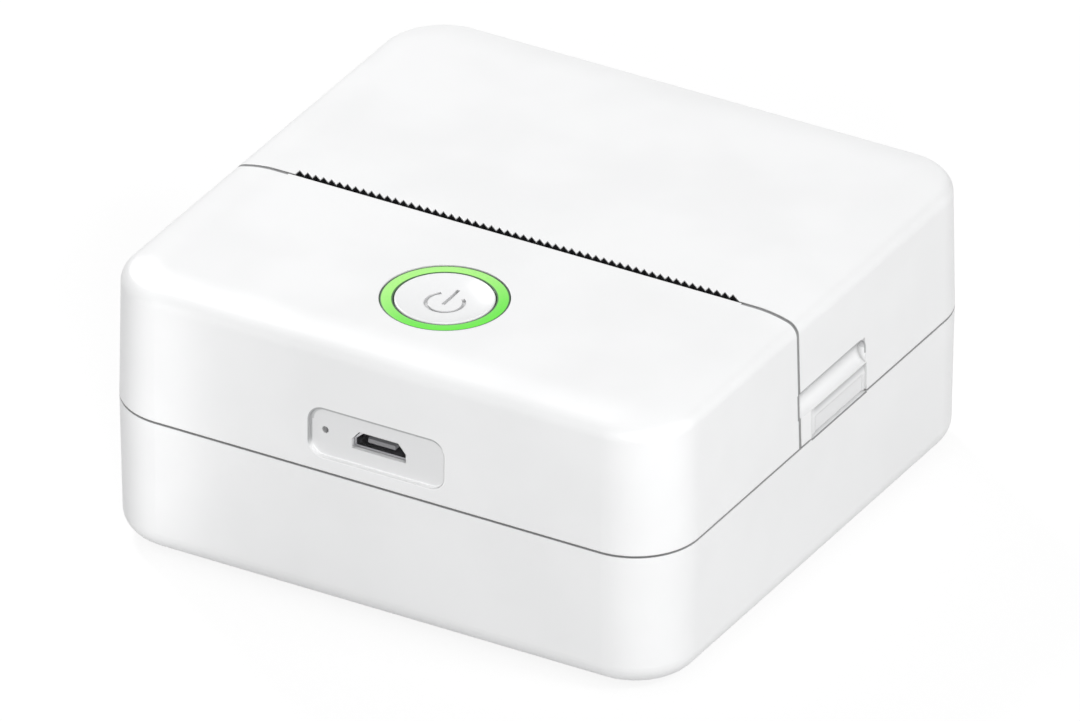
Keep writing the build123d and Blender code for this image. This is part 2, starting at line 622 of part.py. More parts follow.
with BuildPart() as cover_shell:
    add(upper_form.part)
    add(upper_hollow.part, mode=Mode.SUBTRACT)
    with BuildSketch(Plane.YZ):
        with Locations((HINGE_Y, HINGE_Z)):
            Circle(HINGE_R)
    extrude(amount=HINGE_HALF, both=True)
    with BuildSketch(Plane.XY.offset(SKIRT_Z)) as pads:
        for side in (-1, 1):
            with Locations((side * (WIDTH / 2 - WALL - GRIP_PAD_T / 2), GRIP_PAD_START_Y)):
                Rectangle(
                    GRIP_PAD_T + 0.4,
                    GRIP_END_Y + 2 - GRIP_PAD_START_Y,
                    align=(Align.CENTER, Align.MIN),
                )
    extrude(amount=SCOOP_TOP + 1)
    with BuildSketch(Plane.XY.offset(CEILING_Z - 0.8)):
        with Locations((-17.0, COVER_RIB_Y), (0, COVER_RIB_Y), (17.0, COVER_RIB_Y)):
            Rectangle(1.2, COVER_RIB_L)
    extrude(amount=0.8)
    with BuildSketch(Plane.XY.offset(LUG_TOP_Z)):
        with Locations(*bracket_screws_at):
            Circle(BOSS_R)
    extrude(amount=CEILING_Z - LUG_TOP_Z)
    with BuildSketch(Plane.XY.offset(SKIRT_Z)):
        tongue_ring(WALL + 2 * LIP_GAP, LIP_OUTER, LIP_END_Y + 1.5)
    extrude(amount=LIP_HEIGHT + 2 * LIP_GAP, mode=Mode.SUBTRACT)
    split(bisect_by=parting.offset(PARTING_GAP / 2), keep=Keep.TOP)
    with BuildSketch(Plane.YZ):
        with Locations((HINGE_Y, SKIRT_Z - 1)):
            Rectangle(HINGE_R + 1, HINGE_R + 1, align=(Align.MIN, Align.MIN))
        with Locations((HINGE_Y, HINGE_Z)):
            Circle(HINGE_R, mode=Mode.SUBTRACT)
    extrude(amount=WIDTH / 2, both=True, mode=Mode.SUBTRACT)
    for knuckle_x in (-KNUCKLE_X, KNUCKLE_X):
        with BuildSketch(Plane.YZ.offset(knuckle_x - KNUCKLE_W / 2 - KNUCKLE_GAP)):
            with Locations((HINGE_Y - KNUCKLE_R - KNUCKLE_GAP, SKIRT_Z - 1)):
                Rectangle(
                    KNUCKLE_R + KNUCKLE_GAP + HINGE_R + 1,
                    HINGE_Z - SKIRT_Z + 1 + KNUCKLE_R + KNUCKLE_GAP,
                    align=(Align.MIN, Align.MIN),
                )
        extrude(amount=KNUCKLE_W + 2 * KNUCKLE_GAP, mode=Mode.SUBTRACT)
    for pin_x in (-KNUCKLE_X - 9.0, KNUCKLE_X + 9.0 - HINGE_PIN_L):
        with BuildSketch(Plane.YZ.offset(pin_x)):
            with Locations((HINGE_Y, HINGE_Z)):
                Circle(HINGE_PIN_D / 2)
        extrude(amount=HINGE_PIN_L, mode=Mode.SUBTRACT)
    with BuildSketch(Plane.XY.offset(CEILING_Z)):
        with Locations((0, PARTING_TOP_Y + PARTING_GAP / 2)):
            Rectangle(TEAR_BAR_W, TEAR_BAR_D, align=(Align.CENTER, Align.MIN))
    extrude(amount=WALL - TOOTH_SKIN, mode=Mode.SUBTRACT)
    with BuildSketch(Plane.XY.offset(CEILING_Z)):
        Polygon(*notch_points(), align=None)
    extrude(amount=WALL + 1, mode=Mode.SUBTRACT)
    with BuildSketch(Plane.XY.offset(LUG_TOP_Z)):
        with Locations(*bracket_screws_at):
            Circle(SMALL_SHANK_R)
    extrude(amount=BRACKET_SCREW_L - LUG_T, mode=Mode.SUBTRACT)
    add(grip_cut.part, mode=Mode.SUBTRACT)
    add(grip_cut.part.mirror(Plane.YZ), mode=Mode.SUBTRACT)

# Tear bar: the black serrated strip under the skin of the cover's teeth

with BuildPart() as tear_bar:
    with BuildSketch(Plane.XY.offset(CEILING_Z)):
        with Locations((0, PARTING_TOP_Y + PARTING_GAP)):
            Rectangle(TEAR_BAR_W - 0.2, TEAR_BAR_D - PARTING_GAP, align=(Align.CENTER, Align.MIN))
        Polygon(*notch_points(TEAR_BAR_BACK), align=None, mode=Mode.SUBTRACT)
    extrude(amount=WALL - TOOTH_SKIN)

# Hinge pins, pressed into the cover's bead and running in the base's knuckles

with BuildPart() as hinge_pins:
    for pin_x in (-KNUCKLE_X - 9.0, KNUCKLE_X + 9.0 - HINGE_PIN_L):
        with BuildSketch(Plane.YZ.offset(pin_x)):
            with Locations((HINGE_Y, HINGE_Z)):
                Circle(HINGE_PIN_D / 2)
        extrude(amount=HINGE_PIN_L)

# Platen bracket: a bridge over the roller, an arm at each end and a lug for each screw

with BuildPart() as platen_bracket:
    with BuildSketch(Plane.YZ.offset(-ARM_X - ARM_T)):
        with Locations((BRIDGE_Y, CEILING_Z)):
            Rectangle(BRIDGE_D, 1.5, align=(Align.MIN, Align.MAX))
        with Locations(platen_at):
            Circle(GUARD_R + GUARD_T)
            Circle(GUARD_R, mode=Mode.SUBTRACT)
        with Locations((PLATEN_Y + 1.0, CEILING_Z)):
            Rectangle(20, 30, align=(Align.MAX, Align.MAX), mode=Mode.SUBTRACT)
        with Locations((PLATEN_Y, PLATEN_Z - 2.6)):
            Rectangle(30, 30, align=(Align.CENTER, Align.MAX), mode=Mode.SUBTRACT)
        with Locations((BRIDGE_Y, CEILING_Z)):
            Rectangle(BRIDGE_D, 1.5, align=(Align.MIN, Align.MAX))
        with Locations((PLATEN_Y + 1.0, CEILING_Z - 1.0)):
            Rectangle(1.2, PLATEN_DROP - WALL - GUARD_R - 1.4, align=(Align.MIN, Align.MAX))
    extrude(amount=2 * (ARM_X + ARM_T))
    for arm_x in (-ARM_X - ARM_T, ARM_X):
        with BuildSketch(Plane.YZ.offset(arm_x)):
            with Locations(platen_at):
                Circle(ARM_R)
            with Locations((PLATEN_Y, PLATEN_Z)):
                Rectangle(2 * ARM_R, CEILING_Z - PLATEN_Z, align=(Align.CENTER, Align.MIN))
            with Locations((PLATEN_Y, CEILING_Z)):
                Rectangle(
                    BRACKET_SCREW_Y + 2.4 - PLATEN_Y,
                    CEILING_Z - LUG_TOP_Z + LUG_T,
                    align=(Align.MIN, Align.MAX),
                )
        extrude(amount=ARM_T)
    with BuildSketch(Plane.XY.offset(LUG_TOP_Z)):
        for side, shift in ((-1, Align.MAX), (1, Align.MIN)):
            with Locations((side * ARM_X, BRACKET_SCREW_Y)):
                Rectangle(BRACKET_SCREW_X + 2.2 - ARM_X, 4.8, align=(shift, Align.CENTER))
        with Locations(*bracket_screws_at):
            Circle(SMALL_SHANK_R + HOLE_GAP, mode=Mode.SUBTRACT)
    extrude(amount=-LUG_T)
    with BuildSketch(Plane.YZ):
        with Locations(platen_at):
            Circle(BUSH_D / 2)
    extrude(amount=WIDTH / 2, both=True, mode=Mode.SUBTRACT)

with BuildPart() as platen_bushes:
    for bush_x in (-PLATE_OUT_X - 0.3, ARM_X):
        with BuildSketch(Plane.YZ.offset(bush_x)):
            with Locations(platen_at):
                Circle(BUSH_D / 2)
                Circle(SHAFT_D / 2 + BUSH_SLACK, mode=Mode.SUBTRACT)
        extrude(amount=PLATE_OUT_X + 0.3 - ARM_X)

# Platen roller: a steel shaft with its rubber sleeve and its gear

with BuildPart() as platen_shaft:
    with BuildSketch(Plane.YZ.offset(-ROW_1_X - GEAR_T - 0.3)):
        with Locations(platen_at):
            Circle(SHAFT_D / 2)
    extrude(amount=ROW_1_X + GEAR_T + 0.3 + PLATE_OUT_X + 0.8)

with BuildPart() as platen_rubber:
    with BuildSketch(Plane.YZ.offset(-PLATEN_L / 2)):
        with Locations(platen_at):
            Circle(PLATEN_D / 2)
            Circle(SHAFT_D / 2, mode=Mode.SUBTRACT)
    extrude(amount=PLATEN_L)

with BuildPart() as platen_gear:
    with BuildSketch(Plane.YZ.offset(-ROW_1_X - GEAR_T)):
        with Locations(platen_at):
            gear_face(PLATEN_TEETH, idler_way, SHAFT_D / 2)
    extrude(amount=GEAR_T)

# Mechanism frame: two side plates, the cross wall, the paper ramp and the slot's black lip

ramp_low = (BAY_FRONT_Y - 0.4, ROLL_Z - 7.4)
ramp_high = (HEAD_FACE_Y + 0.85, PLATEN_Z - 5.45)
ramp_way = atan2(ramp_high[1] - ramp_low[1], ramp_high[0] - ramp_low[0])
ramp_length = hypot(ramp_high[1] - ramp_low[1], ramp_high[0] - ramp_low[0])
ramp_plane = Plane(
    origin=(0, (ramp_low[0] + ramp_high[0]) / 2, (ramp_low[1] + ramp_high[1]) / 2),
    x_dir=(1, 0, 0),
    z_dir=(0, sin(ramp_way), -cos(ramp_way)),
)

with BuildPart() as mechanism_frame:
    for plate_x in (-PLATE_OUT_X, PLATE_X):
        with BuildSketch(Plane.YZ.offset(plate_x)):
            with Locations((CROSS_Y - CROSS_T, PLATE_BOTTOM_Z)):
                Rectangle(
                    PLATEN_Y + 5.15 - CROSS_Y + CROSS_T,
                    PLATEN_Z + 2.15 - PLATE_BOTTOM_Z,
                    align=(Align.MIN, Align.MIN),
                )
                Rectangle(
                    HEAD_FACE_Y + 0.45 - CROSS_Y + CROSS_T,
                    GUIDE_Z + GUIDE_T - PLATE_BOTTOM_Z,
                    align=(Align.MIN, Align.MIN),
                )
            if plate_x < 0:
                with Locations((CROSS_Y, PLATE_BOTTOM_Z)):
                    Rectangle(
                        CROSS_Y - motor_at[0] + MOTOR_PLATE_MARGIN,
                        BOARD_Z - 0.8 - PLATE_BOTTOM_Z,
                        align=(Align.MAX, Align.MIN),
                    )
            with Locations(platen_at):
                Circle(BUSH_D / 2 + SLOT_CLEAR, mode=Mode.SUBTRACT)
                Rectangle(
                    12.0,
                    BUSH_D + 2 * SLOT_CLEAR,
                    rotation=180 / pi * lift_way,
                    align=(Align.MIN, Align.CENTER),
                    mode=Mode.SUBTRACT,
                )
        extrude(amount=PLATE_T)
    with BuildSketch(Plane.YZ.offset(-PLATE_X)):
        with Locations((CROSS_Y, CROSS_BOTTOM_Z)):
            Rectangle(CROSS_T, GUIDE_Z + GUIDE_T - CROSS_BOTTOM_Z, align=(Align.MAX, Align.MIN))
        with Locations((CROSS_Y - CROSS_T, GUIDE_Z)):
            Rectangle(SINK_BACK_Y - 0.15 - CROSS_Y + CROSS_T, GUIDE_T, align=(Align.MIN, Align.MIN))
    extrude(amount=2 * PLATE_X)
    with BuildSketch(ramp_plane):
        Rectangle(2 * PLATE_X, ramp_length)
        Rectangle(5.0, 3.4, mode=Mode.SUBTRACT)
    extrude(amount=-GUIDE_T)
    with BuildSketch(Plane.XZ.offset(-CROSS_Y)):
        with Locations((0, CROSS_BOTTOM_Z + 10.5)):
            Rectangle(24.0, 2.0)
    extrude(amount=CROSS_T, mode=Mode.SUBTRACT)
    with BuildSketch(Plane.YZ.offset(-PLATE_OUT_X)):
        with Locations(idler_at, compound_at):
            Circle(STUD_D / 2)
        with Locations(motor_at):
            Circle(MOTOR_BOSS_D / 2)
        with Locations((HEAD_PIN_Y, HEAD_PIN_Z)):
            Circle(HEAD_PIN_D / 2)
    extrude(amount=PLATE_T, mode=Mode.SUBTRACT)
    with BuildSketch(Plane.YZ.offset(PLATE_X)):
        with Locations((HEAD_PIN_Y, HEAD_PIN_Z)):
            Circle(HEAD_PIN_D / 2)
    extrude(amount=PLATE_T, mode=Mode.SUBTRACT)

with BuildPart() as paper_sensor:
    with BuildSketch(ramp_plane.offset(-GUIDE_T)):
        Rectangle(6.4, 4.6)
    extrude(amount=-1.6)
    with BuildSketch(ramp_plane.offset(-GUIDE_T)):
        Rectangle(4.6, 3.0)
    extrude(amount=GUIDE_T - 0.3)

# Print head: the aluminium heatsink with its ears, the ceramic strip and the leaf spring

with BuildPart() as head_plate:
    with BuildSketch(Plane.XZ.offset(-SINK_BACK_Y)):
        with Locations((0, HEAD_TOP_Z)):
            Rectangle(2 * ARM_X + 0.4, HEATSINK_H, align=(Align.CENTER, Align.MAX))
    extrude(amount=HEATSINK_T)
    for ear_x in (-ARM_X - 0.2, ARM_X + 0.2 - EAR_T):
        with BuildSketch(Plane.YZ.offset(ear_x)):
            with Locations((HEAD_PIN_Y, HEAD_PIN_Z)):
                Circle(EAR_R)
            Polygon(
                (HEAD_PIN_Y - EAR_R, HEAD_PIN_Z),
                (HEAD_PIN_Y, HEAD_PIN_Z - EAR_R),
                (SINK_BACK_Y, HEAD_PIN_Z + 0.6),
                (SINK_BACK_Y, HEAD_PIN_Z + 3.6),
                (SINK_FRONT_Y, HEAD_PIN_Z + 3.6),
                align=None,
            )
            with Locations((HEAD_PIN_Y, HEAD_PIN_Z)):
                Circle(HEAD_PIN_D / 2 + RUNNING, mode=Mode.SUBTRACT)
        extrude(amount=EAR_T)

with BuildPart() as thermal_strip:
    with BuildSketch(Plane.XZ.offset(-HEAD_FACE_Y)):
        with Locations((0, PLATEN_Z - CERAMIC_BELOW)):
            Rectangle(HEAD_W, CERAMIC_H, align=(Align.CENTER, Align.MIN))
    extrude(amount=CERAMIC_T)

with BuildPart() as head_spring:
    foot_z = HEAD_TOP_Z - HEATSINK_H + 1.5
    tip_y = CROSS_Y + SPRING_GAP
    with BuildSketch(Plane.YZ.offset(-19.0)):
        with Locations((SINK_FRONT_Y, foot_z)):
            Rectangle(SPRING_T, 3.0, align=(Align.MAX, Align.MIN))
    extrude(amount=38.0)
    for arm_x in (-19.0, 11.0):
        with BuildSketch(Plane.YZ.offset(arm_x)):
            Polygon(
                (SINK_FRONT_Y, foot_z + 2.6),
                (tip_y + SPRING_T, foot_z + 7.2),
                (tip_y + SPRING_T + 0.5, foot_z + 8.6),
                (tip_y + 0.5, foot_z + 8.7),
                (tip_y, foot_z + 7.2),
                (SINK_FRONT_Y - SPRING_T, foot_z + 2.4),
                align=None,
            )
        extrude(amount=8.0)

with BuildPart() as head_pivot_pin:
    with BuildSketch(Plane.YZ.offset(-PLATE_OUT_X)):
        with Locations((HEAD_PIN_Y, HEAD_PIN_Z)):
            Circle(HEAD_PIN_D / 2)
    extrude(amount=2 * PLATE_OUT_X)

# Drive: the stepper motor, its pinion, and two gears on studs riveted to the left plate

with BuildPart() as drive_motor:
    with BuildSketch(Plane.YZ.offset(-PLATE_X)):
        with Locations(motor_at):
            Circle(MOTOR_D / 2)
    extrude(amount=MOTOR_L)
    with BuildSketch(Plane.YZ.offset(-PLATE_OUT_X)):
        with Locations(motor_at):
            Circle(MOTOR_BOSS_D / 2)
    extrude(amount=PLATE_T)
    with BuildSketch(Plane.YZ.offset(-PLATE_OUT_X)):
        with Locations(motor_at):
            Circle(MOTOR_SHAFT_D / 2 + RUNNING)
    extrude(amount=PLATE_T + MOTOR_L - 2, mode=Mode.SUBTRACT)

with BuildPart() as motor_pinion:
    with BuildSketch(Plane.YZ.offset(-ROW_2_X - GEAR_T)):
        with Locations(motor_at):
            Polygon(*gear_points(PINION_TEETH, pinion_phase), align=None)
    extrude(amount=GEAR_T)
    with BuildSketch(Plane.YZ.offset(-ROW_2_X - GEAR_T - 0.2)):
        with Locations(motor_at):
            Circle(MOTOR_SHAFT_D / 2)
    extrude(amount=ROW_2_X + GEAR_T + 0.2 - PLATE_OUT_X + MOTOR_L - 2)

with BuildPart() as compound_gear:
    with BuildSketch(Plane.YZ.offset(-ROW_2_X - GEAR_T)):
        with Locations(compound_at):
            gear_face(LARGE_TEETH, pinion_way, STUD_D / 2 + RUNNING)
    extrude(amount=GEAR_T)
    with BuildSketch(Plane.YZ.offset(-ROW_2_X)):
        with Locations(compound_at):
            Circle(GEAR_MODULE * SMALL_TEETH / 2 - 0.7)
            Circle(STUD_D / 2 + RUNNING, mode=Mode.SUBTRACT)
    extrude(amount=ROW_GAP)
    with BuildSketch(Plane.YZ.offset(-ROW_1_X - GEAR_T)):
        with Locations(compound_at):
            gear_face(SMALL_TEETH, small_phase, STUD_D / 2 + RUNNING)
    extrude(amount=GEAR_T)

with BuildPart() as idler_gear:
    with BuildSketch(Plane.YZ.offset(-ROW_1_X - GEAR_T)):
        with Locations(idler_at):
            gear_face(IDLER_TEETH, idler_phase, STUD_D / 2 + RUNNING)
    extrude(amount=GEAR_T)

with BuildPart() as gear_studs:
    with BuildSketch(Plane.YZ.offset(-PLATE_X)):
        with Locations(idler_at):
            Circle(STUD_D / 2)
    extrude(amount=PLATE_X - ROW_1_X - GEAR_T - 0.3)
    with BuildSketch(Plane.YZ.offset(-PLATE_X)):
        with Locations(compound_at):
            Circle(STUD_D / 2)
    extrude(amount=PLATE_X - ROW_2_X - GEAR_T - 0.3)

# Paper bay: the half-round trough that the roll lies in, between two cheeks

with BuildPart() as paper_bay:
    with BuildSketch(Plane.YZ.offset(-BAY_INSIDE / 2 - BAY_SIDE)) as cheek:
        with Locations((ROLL_Y, ROLL_Z)):
            Circle(BAY_OUT_R)
        with Locations((0, BAY_TOP_Z)):
            Rectangle(2 * DEPTH, 2 * BAY_OUT_R, align=(Align.CENTER, Align.MIN), mode=Mode.SUBTRACT)
        with Locations((BAY_FRONT_Y, 0)):
            Rectangle(DEPTH, 4 * BAY_OUT_R, align=(Align.MAX, Align.CENTER), mode=Mode.SUBTRACT)
    extrude(amount=BAY_INSIDE + 2 * BAY_SIDE)
    with BuildSketch(Plane.YZ.offset(-BAY_INSIDE / 2)):
        with Locations((ROLL_Y, ROLL_Z)):
            Circle(BAY_R)
    extrude(amount=BAY_INSIDE, mode=Mode.SUBTRACT)
    for side, shift in ((-1, Align.MAX), (1, Align.MIN)):
        with BuildSketch(Plane.XY.offset(REAR_BOSS_Z)):
            with Locations((side * CASE_SCREW_X, CASE_SCREW_REAR_Y)):
                Circle(CASE_BOSS_R)
            with Locations((side * BAY_INSIDE / 2, CASE_SCREW_REAR_Y)):
                Rectangle(
                    CASE_SCREW_X - BAY_INSIDE / 2, 2 * CASE_BOSS_R, align=(shift, Align.CENTER)
                )
        extrude(amount=REAR_SCREW_L - 2)
    with BuildSketch(Plane.XY.offset(REAR_BOSS_Z)):
        with Locations(*case_rear):
            Circle(CASE_SHANK_R)
    extrude(amount=REAR_SEAT_Z + REAR_SCREW_L - REAR_BOSS_Z, mode=Mode.SUBTRACT)

# Power button, its switch and the light ring

button_plane = Plane.XZ.offset(-BUTTON_Y)
button_axis = Axis((0, BUTTON_Y, 0), (0, 0, 1))
switch_top_z = KEY_BOARD_Z + SWITCH_H + PLUNGER_PROUD

with BuildPart() as power_button:
    with BuildSketch(button_plane):
        with BuildLine():
            Polyline(
                (0, TOP_Z - BUTTON_DISH),
                (0, switch_top_z),
                (BUTTON_STEM_R, switch_top_z),
                (BUTTON_STEM_R, TOP_Z - BUTTON_DISH - BUTTON_SKIN),
                (BUTTON_R - 1.0, TOP_Z - BUTTON_DISH - BUTTON_SKIN),
                (BUTTON_R - 1.0, TOP_Z - BUTTON_SKIRT),
                (BUTTON_R, TOP_Z - BUTTON_SKIRT),
                (BUTTON_R, TOP_Z),
                (BUTTON_R - BUTTON_RIM, TOP_Z),
                (BUTTON_FLAT_R, TOP_Z - BUTTON_DISH),
                (0, TOP_Z - BUTTON_DISH),
            )
        make_face()
    revolve(axis=button_axis)

with BuildPart() as light_ring:
    with BuildSketch(Plane.XY.offset(KEY_BOARD_Z + LED_T)):
        with Locations((0, BUTTON_Y)):
            Circle(RING_R)
            Circle(BUTTON_R + BUTTON_GAP, mode=Mode.SUBTRACT)
    extrude(amount=TOP_Z - 0.05 - KEY_BOARD_Z - LED_T)

with BuildPart() as key_board:
    with BuildSketch(Plane.XY.offset(KEY_BOARD_Z)):
        with Locations((0, BUTTON_Y)):
            Rectangle(KEY_BOARD_W, KEY_BOARD_D)
    extrude(amount=-KEY_BOARD_T)

with BuildPart() as ring_leds:
    with BuildSketch(Plane.XY.offset(KEY_BOARD_Z)):
        with Locations((0, BUTTON_Y)):
            with PolarLocations((BUTTON_R + BUTTON_GAP + RING_R) / 2, 4, start_angle=45):
                Rectangle(0.8, 1.6)
    extrude(amount=LED_T)

with BuildPart() as power_switch:
    with BuildSketch(Plane.XY.offset(KEY_BOARD_Z)):
        with Locations((0, BUTTON_Y)):
            Rectangle(SWITCH_W, SWITCH_W)
    extrude(amount=SWITCH_H)
    with BuildSketch(Plane.XY.offset(KEY_BOARD_Z + SWITCH_H)):
        with Locations((0, BUTTON_Y)):
            Circle(PLUNGER_R + RUNNING)
    extrude(amount=-2 * BUTTON_TRAVEL - 0.5, mode=Mode.SUBTRACT)

with BuildPart() as switch_plunger:
    with BuildSketch(Plane.XY.offset(switch_top_z)):
        with Locations((0, BUTTON_Y)):
            Circle(PLUNGER_R)
    extrude(amount=-PLUNGER_PROUD - 0.5)

# Main board with the charging socket, the reset switch and the parts soldered to it

with BuildPart() as main_board:
    with BuildSketch(Plane.XY.offset(BOARD_Z)):
        with Locations((0, BOARD_FRONT_Y)):
            Rectangle(BOARD_W, BOARD_BACK_Y - BOARD_FRONT_Y, align=(Align.CENTER, Align.MIN))
    extrude(amount=BOARD_T)

with BuildPart() as usb_socket:
    with BuildSketch(Plane.XZ.offset(-PANEL_Y - PORT_BACK)):
        port_outline()
    extrude(amount=-PORT_DEEP)
    with BuildSketch(Plane.XZ.offset(-PANEL_Y - PORT_BACK)):
        port_outline(-PORT_WALL)
    extrude(amount=-PORT_DEEP + PORT_WALL, mode=Mode.SUBTRACT)

with BuildPart() as usb_tongue:
    with BuildSketch(Plane.XZ.offset(-PANEL_Y - PORT_BACK - PORT_DEEP + PORT_WALL)):
        with Locations((0, PANEL_Z - 0.05)):
            Rectangle(TONGUE_W, TONGUE_T)
    extrude(amount=PORT_DEEP - PORT_WALL - TONGUE_BACK)

RESET_FACE_Y = BOARD_FRONT_Y + 1.2

with BuildPart() as reset_switch:
    with BuildSketch(Plane.XZ.offset(-RESET_FACE_Y)):
        with Locations((PINHOLE_X, BOARD_TOP_Z)):
            Rectangle(4.4, 2.8, align=(Align.CENTER, Align.MIN))
    extrude(amount=-3.0)
    with BuildSketch(Plane.XZ.offset(-RESET_FACE_Y)):
        with Locations((PINHOLE_X, PINHOLE_Z)):
            Circle(0.7 + RUNNING)
    extrude(amount=-1.2, mode=Mode.SUBTRACT)

with BuildPart() as reset_plunger:
    with BuildSketch(Plane.XZ.offset(-RESET_FACE_Y - 0.8)):
        with Locations((PINHOLE_X, PINHOLE_Z)):
            Circle(0.7)
    extrude(amount=0.8 + 0.9)

with BuildPart() as board_chips:
    with BuildSketch(Plane.XY.offset(BOARD_TOP_Z)):
        with Locations((12.0, BOARD_FRONT_Y + 12.0)):
            Rectangle(7.0, 7.0)
        with Locations((-13.0, BOARD_FRONT_Y + 15.0)):
            Rectangle(5.0, 4.0)
        with Locations((15.0, BOARD_FRONT_Y + 4.5)):
            Rectangle(4.0, 4.0)
    extrude(amount=0.9)
    with BuildSketch(Plane.XY.offset(BOARD_TOP_Z)):
        with Locations((0, BOARD_BACK_Y + 0.2)):
            Rectangle(26.0, 3.6, align=(Align.CENTER, Align.MAX))
        with Locations((-15.5, BOARD_FRONT_Y + 5.5)):
            Rectangle(6.0, 4.4)
    extrude(amount=1.8)

with BuildPart() as battery_cell:
    with BuildSketch(Plane.XY.offset(FLOOR_Z + RIB)):
        with Locations((BATTERY_X, BATTERY_Y)):
            Rectangle(BATTERY_L, BATTERY_D)
    extrude(amount=BATTERY_T)
    fillet(battery_cell.edges().filter_by(Axis.X), 2.2)

# Feet and screws

with BuildPart() as feet:
    with BuildSketch(Plane.XY):
        with Locations(*feet_at):
            Circle(FOOT_D / 2)
    extrude(amount=FOOT_PROUD)

with BuildPart() as case_screws:
    with Locations(*[(x, y, FRONT_SEAT_Z) for x, y in case_front]):
        add(screw_solid(CASE_HEAD_R, CASE_HEAD_H, CASE_SHANK_R, FRONT_SCREW_L))
    with Locations(*[(x, y, REAR_SEAT_Z) for x, y in case_rear]):
        add(screw_solid(CASE_HEAD_R, CASE_HEAD_H, CASE_SHANK_R, REAR_SCREW_L))

with BuildPart() as bracket_screws:
    with Locations(*[(x, y, LUG_TOP_Z - LUG_T) for x, y in bracket_screws_at]):
        add(screw_solid(SMALL_HEAD_R, SMALL_HEAD_H, SMALL_SHANK_R, BRACKET_SCREW_L))

# Every piece goes to its own file

os.makedirs("parts", exist_ok=True)
base_shell.part.label = "base_shell"
export_step(base_shell.part, "parts/base_shell.step")
front_shell.part.label = "front_shell"
export_step(front_shell.part, "parts/front_shell.step")
cover_shell.part.label = "cover_shell"
export_step(cover_shell.part, "parts/cover_shell.step")
tear_bar.part.label = "tear_bar"
export_step(tear_bar.part, "parts/tear_bar.step")
hinge_pins.part.label = "hinge_pins"
export_step(hinge_pins.part, "parts/hinge_pins.step")
platen_bracket.part.label = "platen_bracket"
export_step(platen_bracket.part, "parts/platen_bracket.step")
platen_bushes.part.label = "platen_bushes"
export_step(platen_bushes.part, "parts/platen_bushes.step")
platen_shaft.part.label = "platen_shaft"
export_step(platen_shaft.part, "parts/platen_shaft.step")
platen_rubber.part.label = "platen_rubber"
export_step(platen_rubber.part, "parts/platen_rubber.step")
platen_gear.part.label = "platen_gear"
export_step(platen_gear.part, "parts/platen_gear.step")
mechanism_frame.part.label = "mechanism_frame"
export_step(mechanism_frame.part, "parts/mechanism_frame.step")
paper_sensor.part.label = "paper_sensor"
export_step(paper_sensor.part, "parts/paper_sensor.step")
head_plate.part.label = "head_plate"
export_step(head_plate.part, "parts/head_plate.step")
thermal_strip.part.label = "thermal_strip"
export_step(thermal_strip.part, "parts/thermal_strip.step")
head_spring.part.label = "head_spring"
export_step(head_spring.part, "parts/head_spring.step")
head_pivot_pin.part.label = "head_pivot_pin"
export_step(head_pivot_pin.part, "parts/head_pivot_pin.step")
drive_motor.part.label = "drive_motor"
export_step(drive_motor.part, "parts/drive_motor.step")
motor_pinion.part.label = "motor_pinion"
export_step(motor_pinion.part, "parts/motor_pinion.step")
compound_gear.part.label = "compound_gear"
export_step(compound_gear.part, "parts/compound_gear.step")
idler_gear.part.label = "idler_gear"
export_step(idler_gear.part, "parts/idler_gear.step")
gear_studs.part.label = "gear_studs"
export_step(gear_studs.part, "parts/gear_studs.step")
paper_bay.part.label = "paper_bay"
export_step(paper_bay.part, "parts/paper_bay.step")
power_button.part.label = "power_button"
export_step(power_button.part, "parts/power_button.step")
light_ring.part.label = "light_ring"
export_step(light_ring.part, "parts/light_ring.step")
key_board.part.label = "key_board"
export_step(key_board.part, "parts/key_board.step")
ring_leds.part.label = "ring_leds"
export_step(ring_leds.part, "parts/ring_leds.step")
power_switch.part.label = "power_switch"
export_step(power_switch.part, "parts/power_switch.step")
switch_plunger.part.label = "switch_plunger"
export_step(switch_plunger.part, "parts/switch_plunger.step")
main_board.part.label = "main_board"
export_step(main_board.part, "parts/main_board.step")
usb_socket.part.label = "usb_socket"
export_step(usb_socket.part, "parts/usb_socket.step")
usb_tongue.part.label = "usb_tongue"
export_step(usb_tongue.part, "parts/usb_tongue.step")
reset_switch.part.label = "reset_switch"
export_step(reset_switch.part, "parts/reset_switch.step")
reset_plunger.part.label = "reset_plunger"
export_step(reset_plunger.part, "parts/reset_plunger.step")
board_chips.part.label = "board_chips"
export_step(board_chips.part, "parts/board_chips.step")
battery_cell.part.label = "battery_cell"
export_step(battery_cell.part, "parts/battery_cell.step")
feet.part.label = "feet"
export_step(feet.part, "parts/feet.step")
case_screws.part.label = "case_screws"
export_step(case_screws.part, "parts/case_screws.step")
bracket_screws.part.label = "bracket_screws"
export_step(bracket_screws.part, "parts/bracket_screws.step")
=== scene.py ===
# %% [markdown]
# # A pocket thermal printer
#
# The working model, with its casing, gears, roller and joints, comes from the frame as exact
# solids. This notebook gives it its finishes, adds what is too fine or too soft in shape for
# solids, such as the dished button with its sunk symbol, and sets up a white studio.
# Everything is in metres, in the frame's own place, so nothing has to be fitted.

# %% Load the working model
import json
from math import atan2, cos, pi, radians, sin

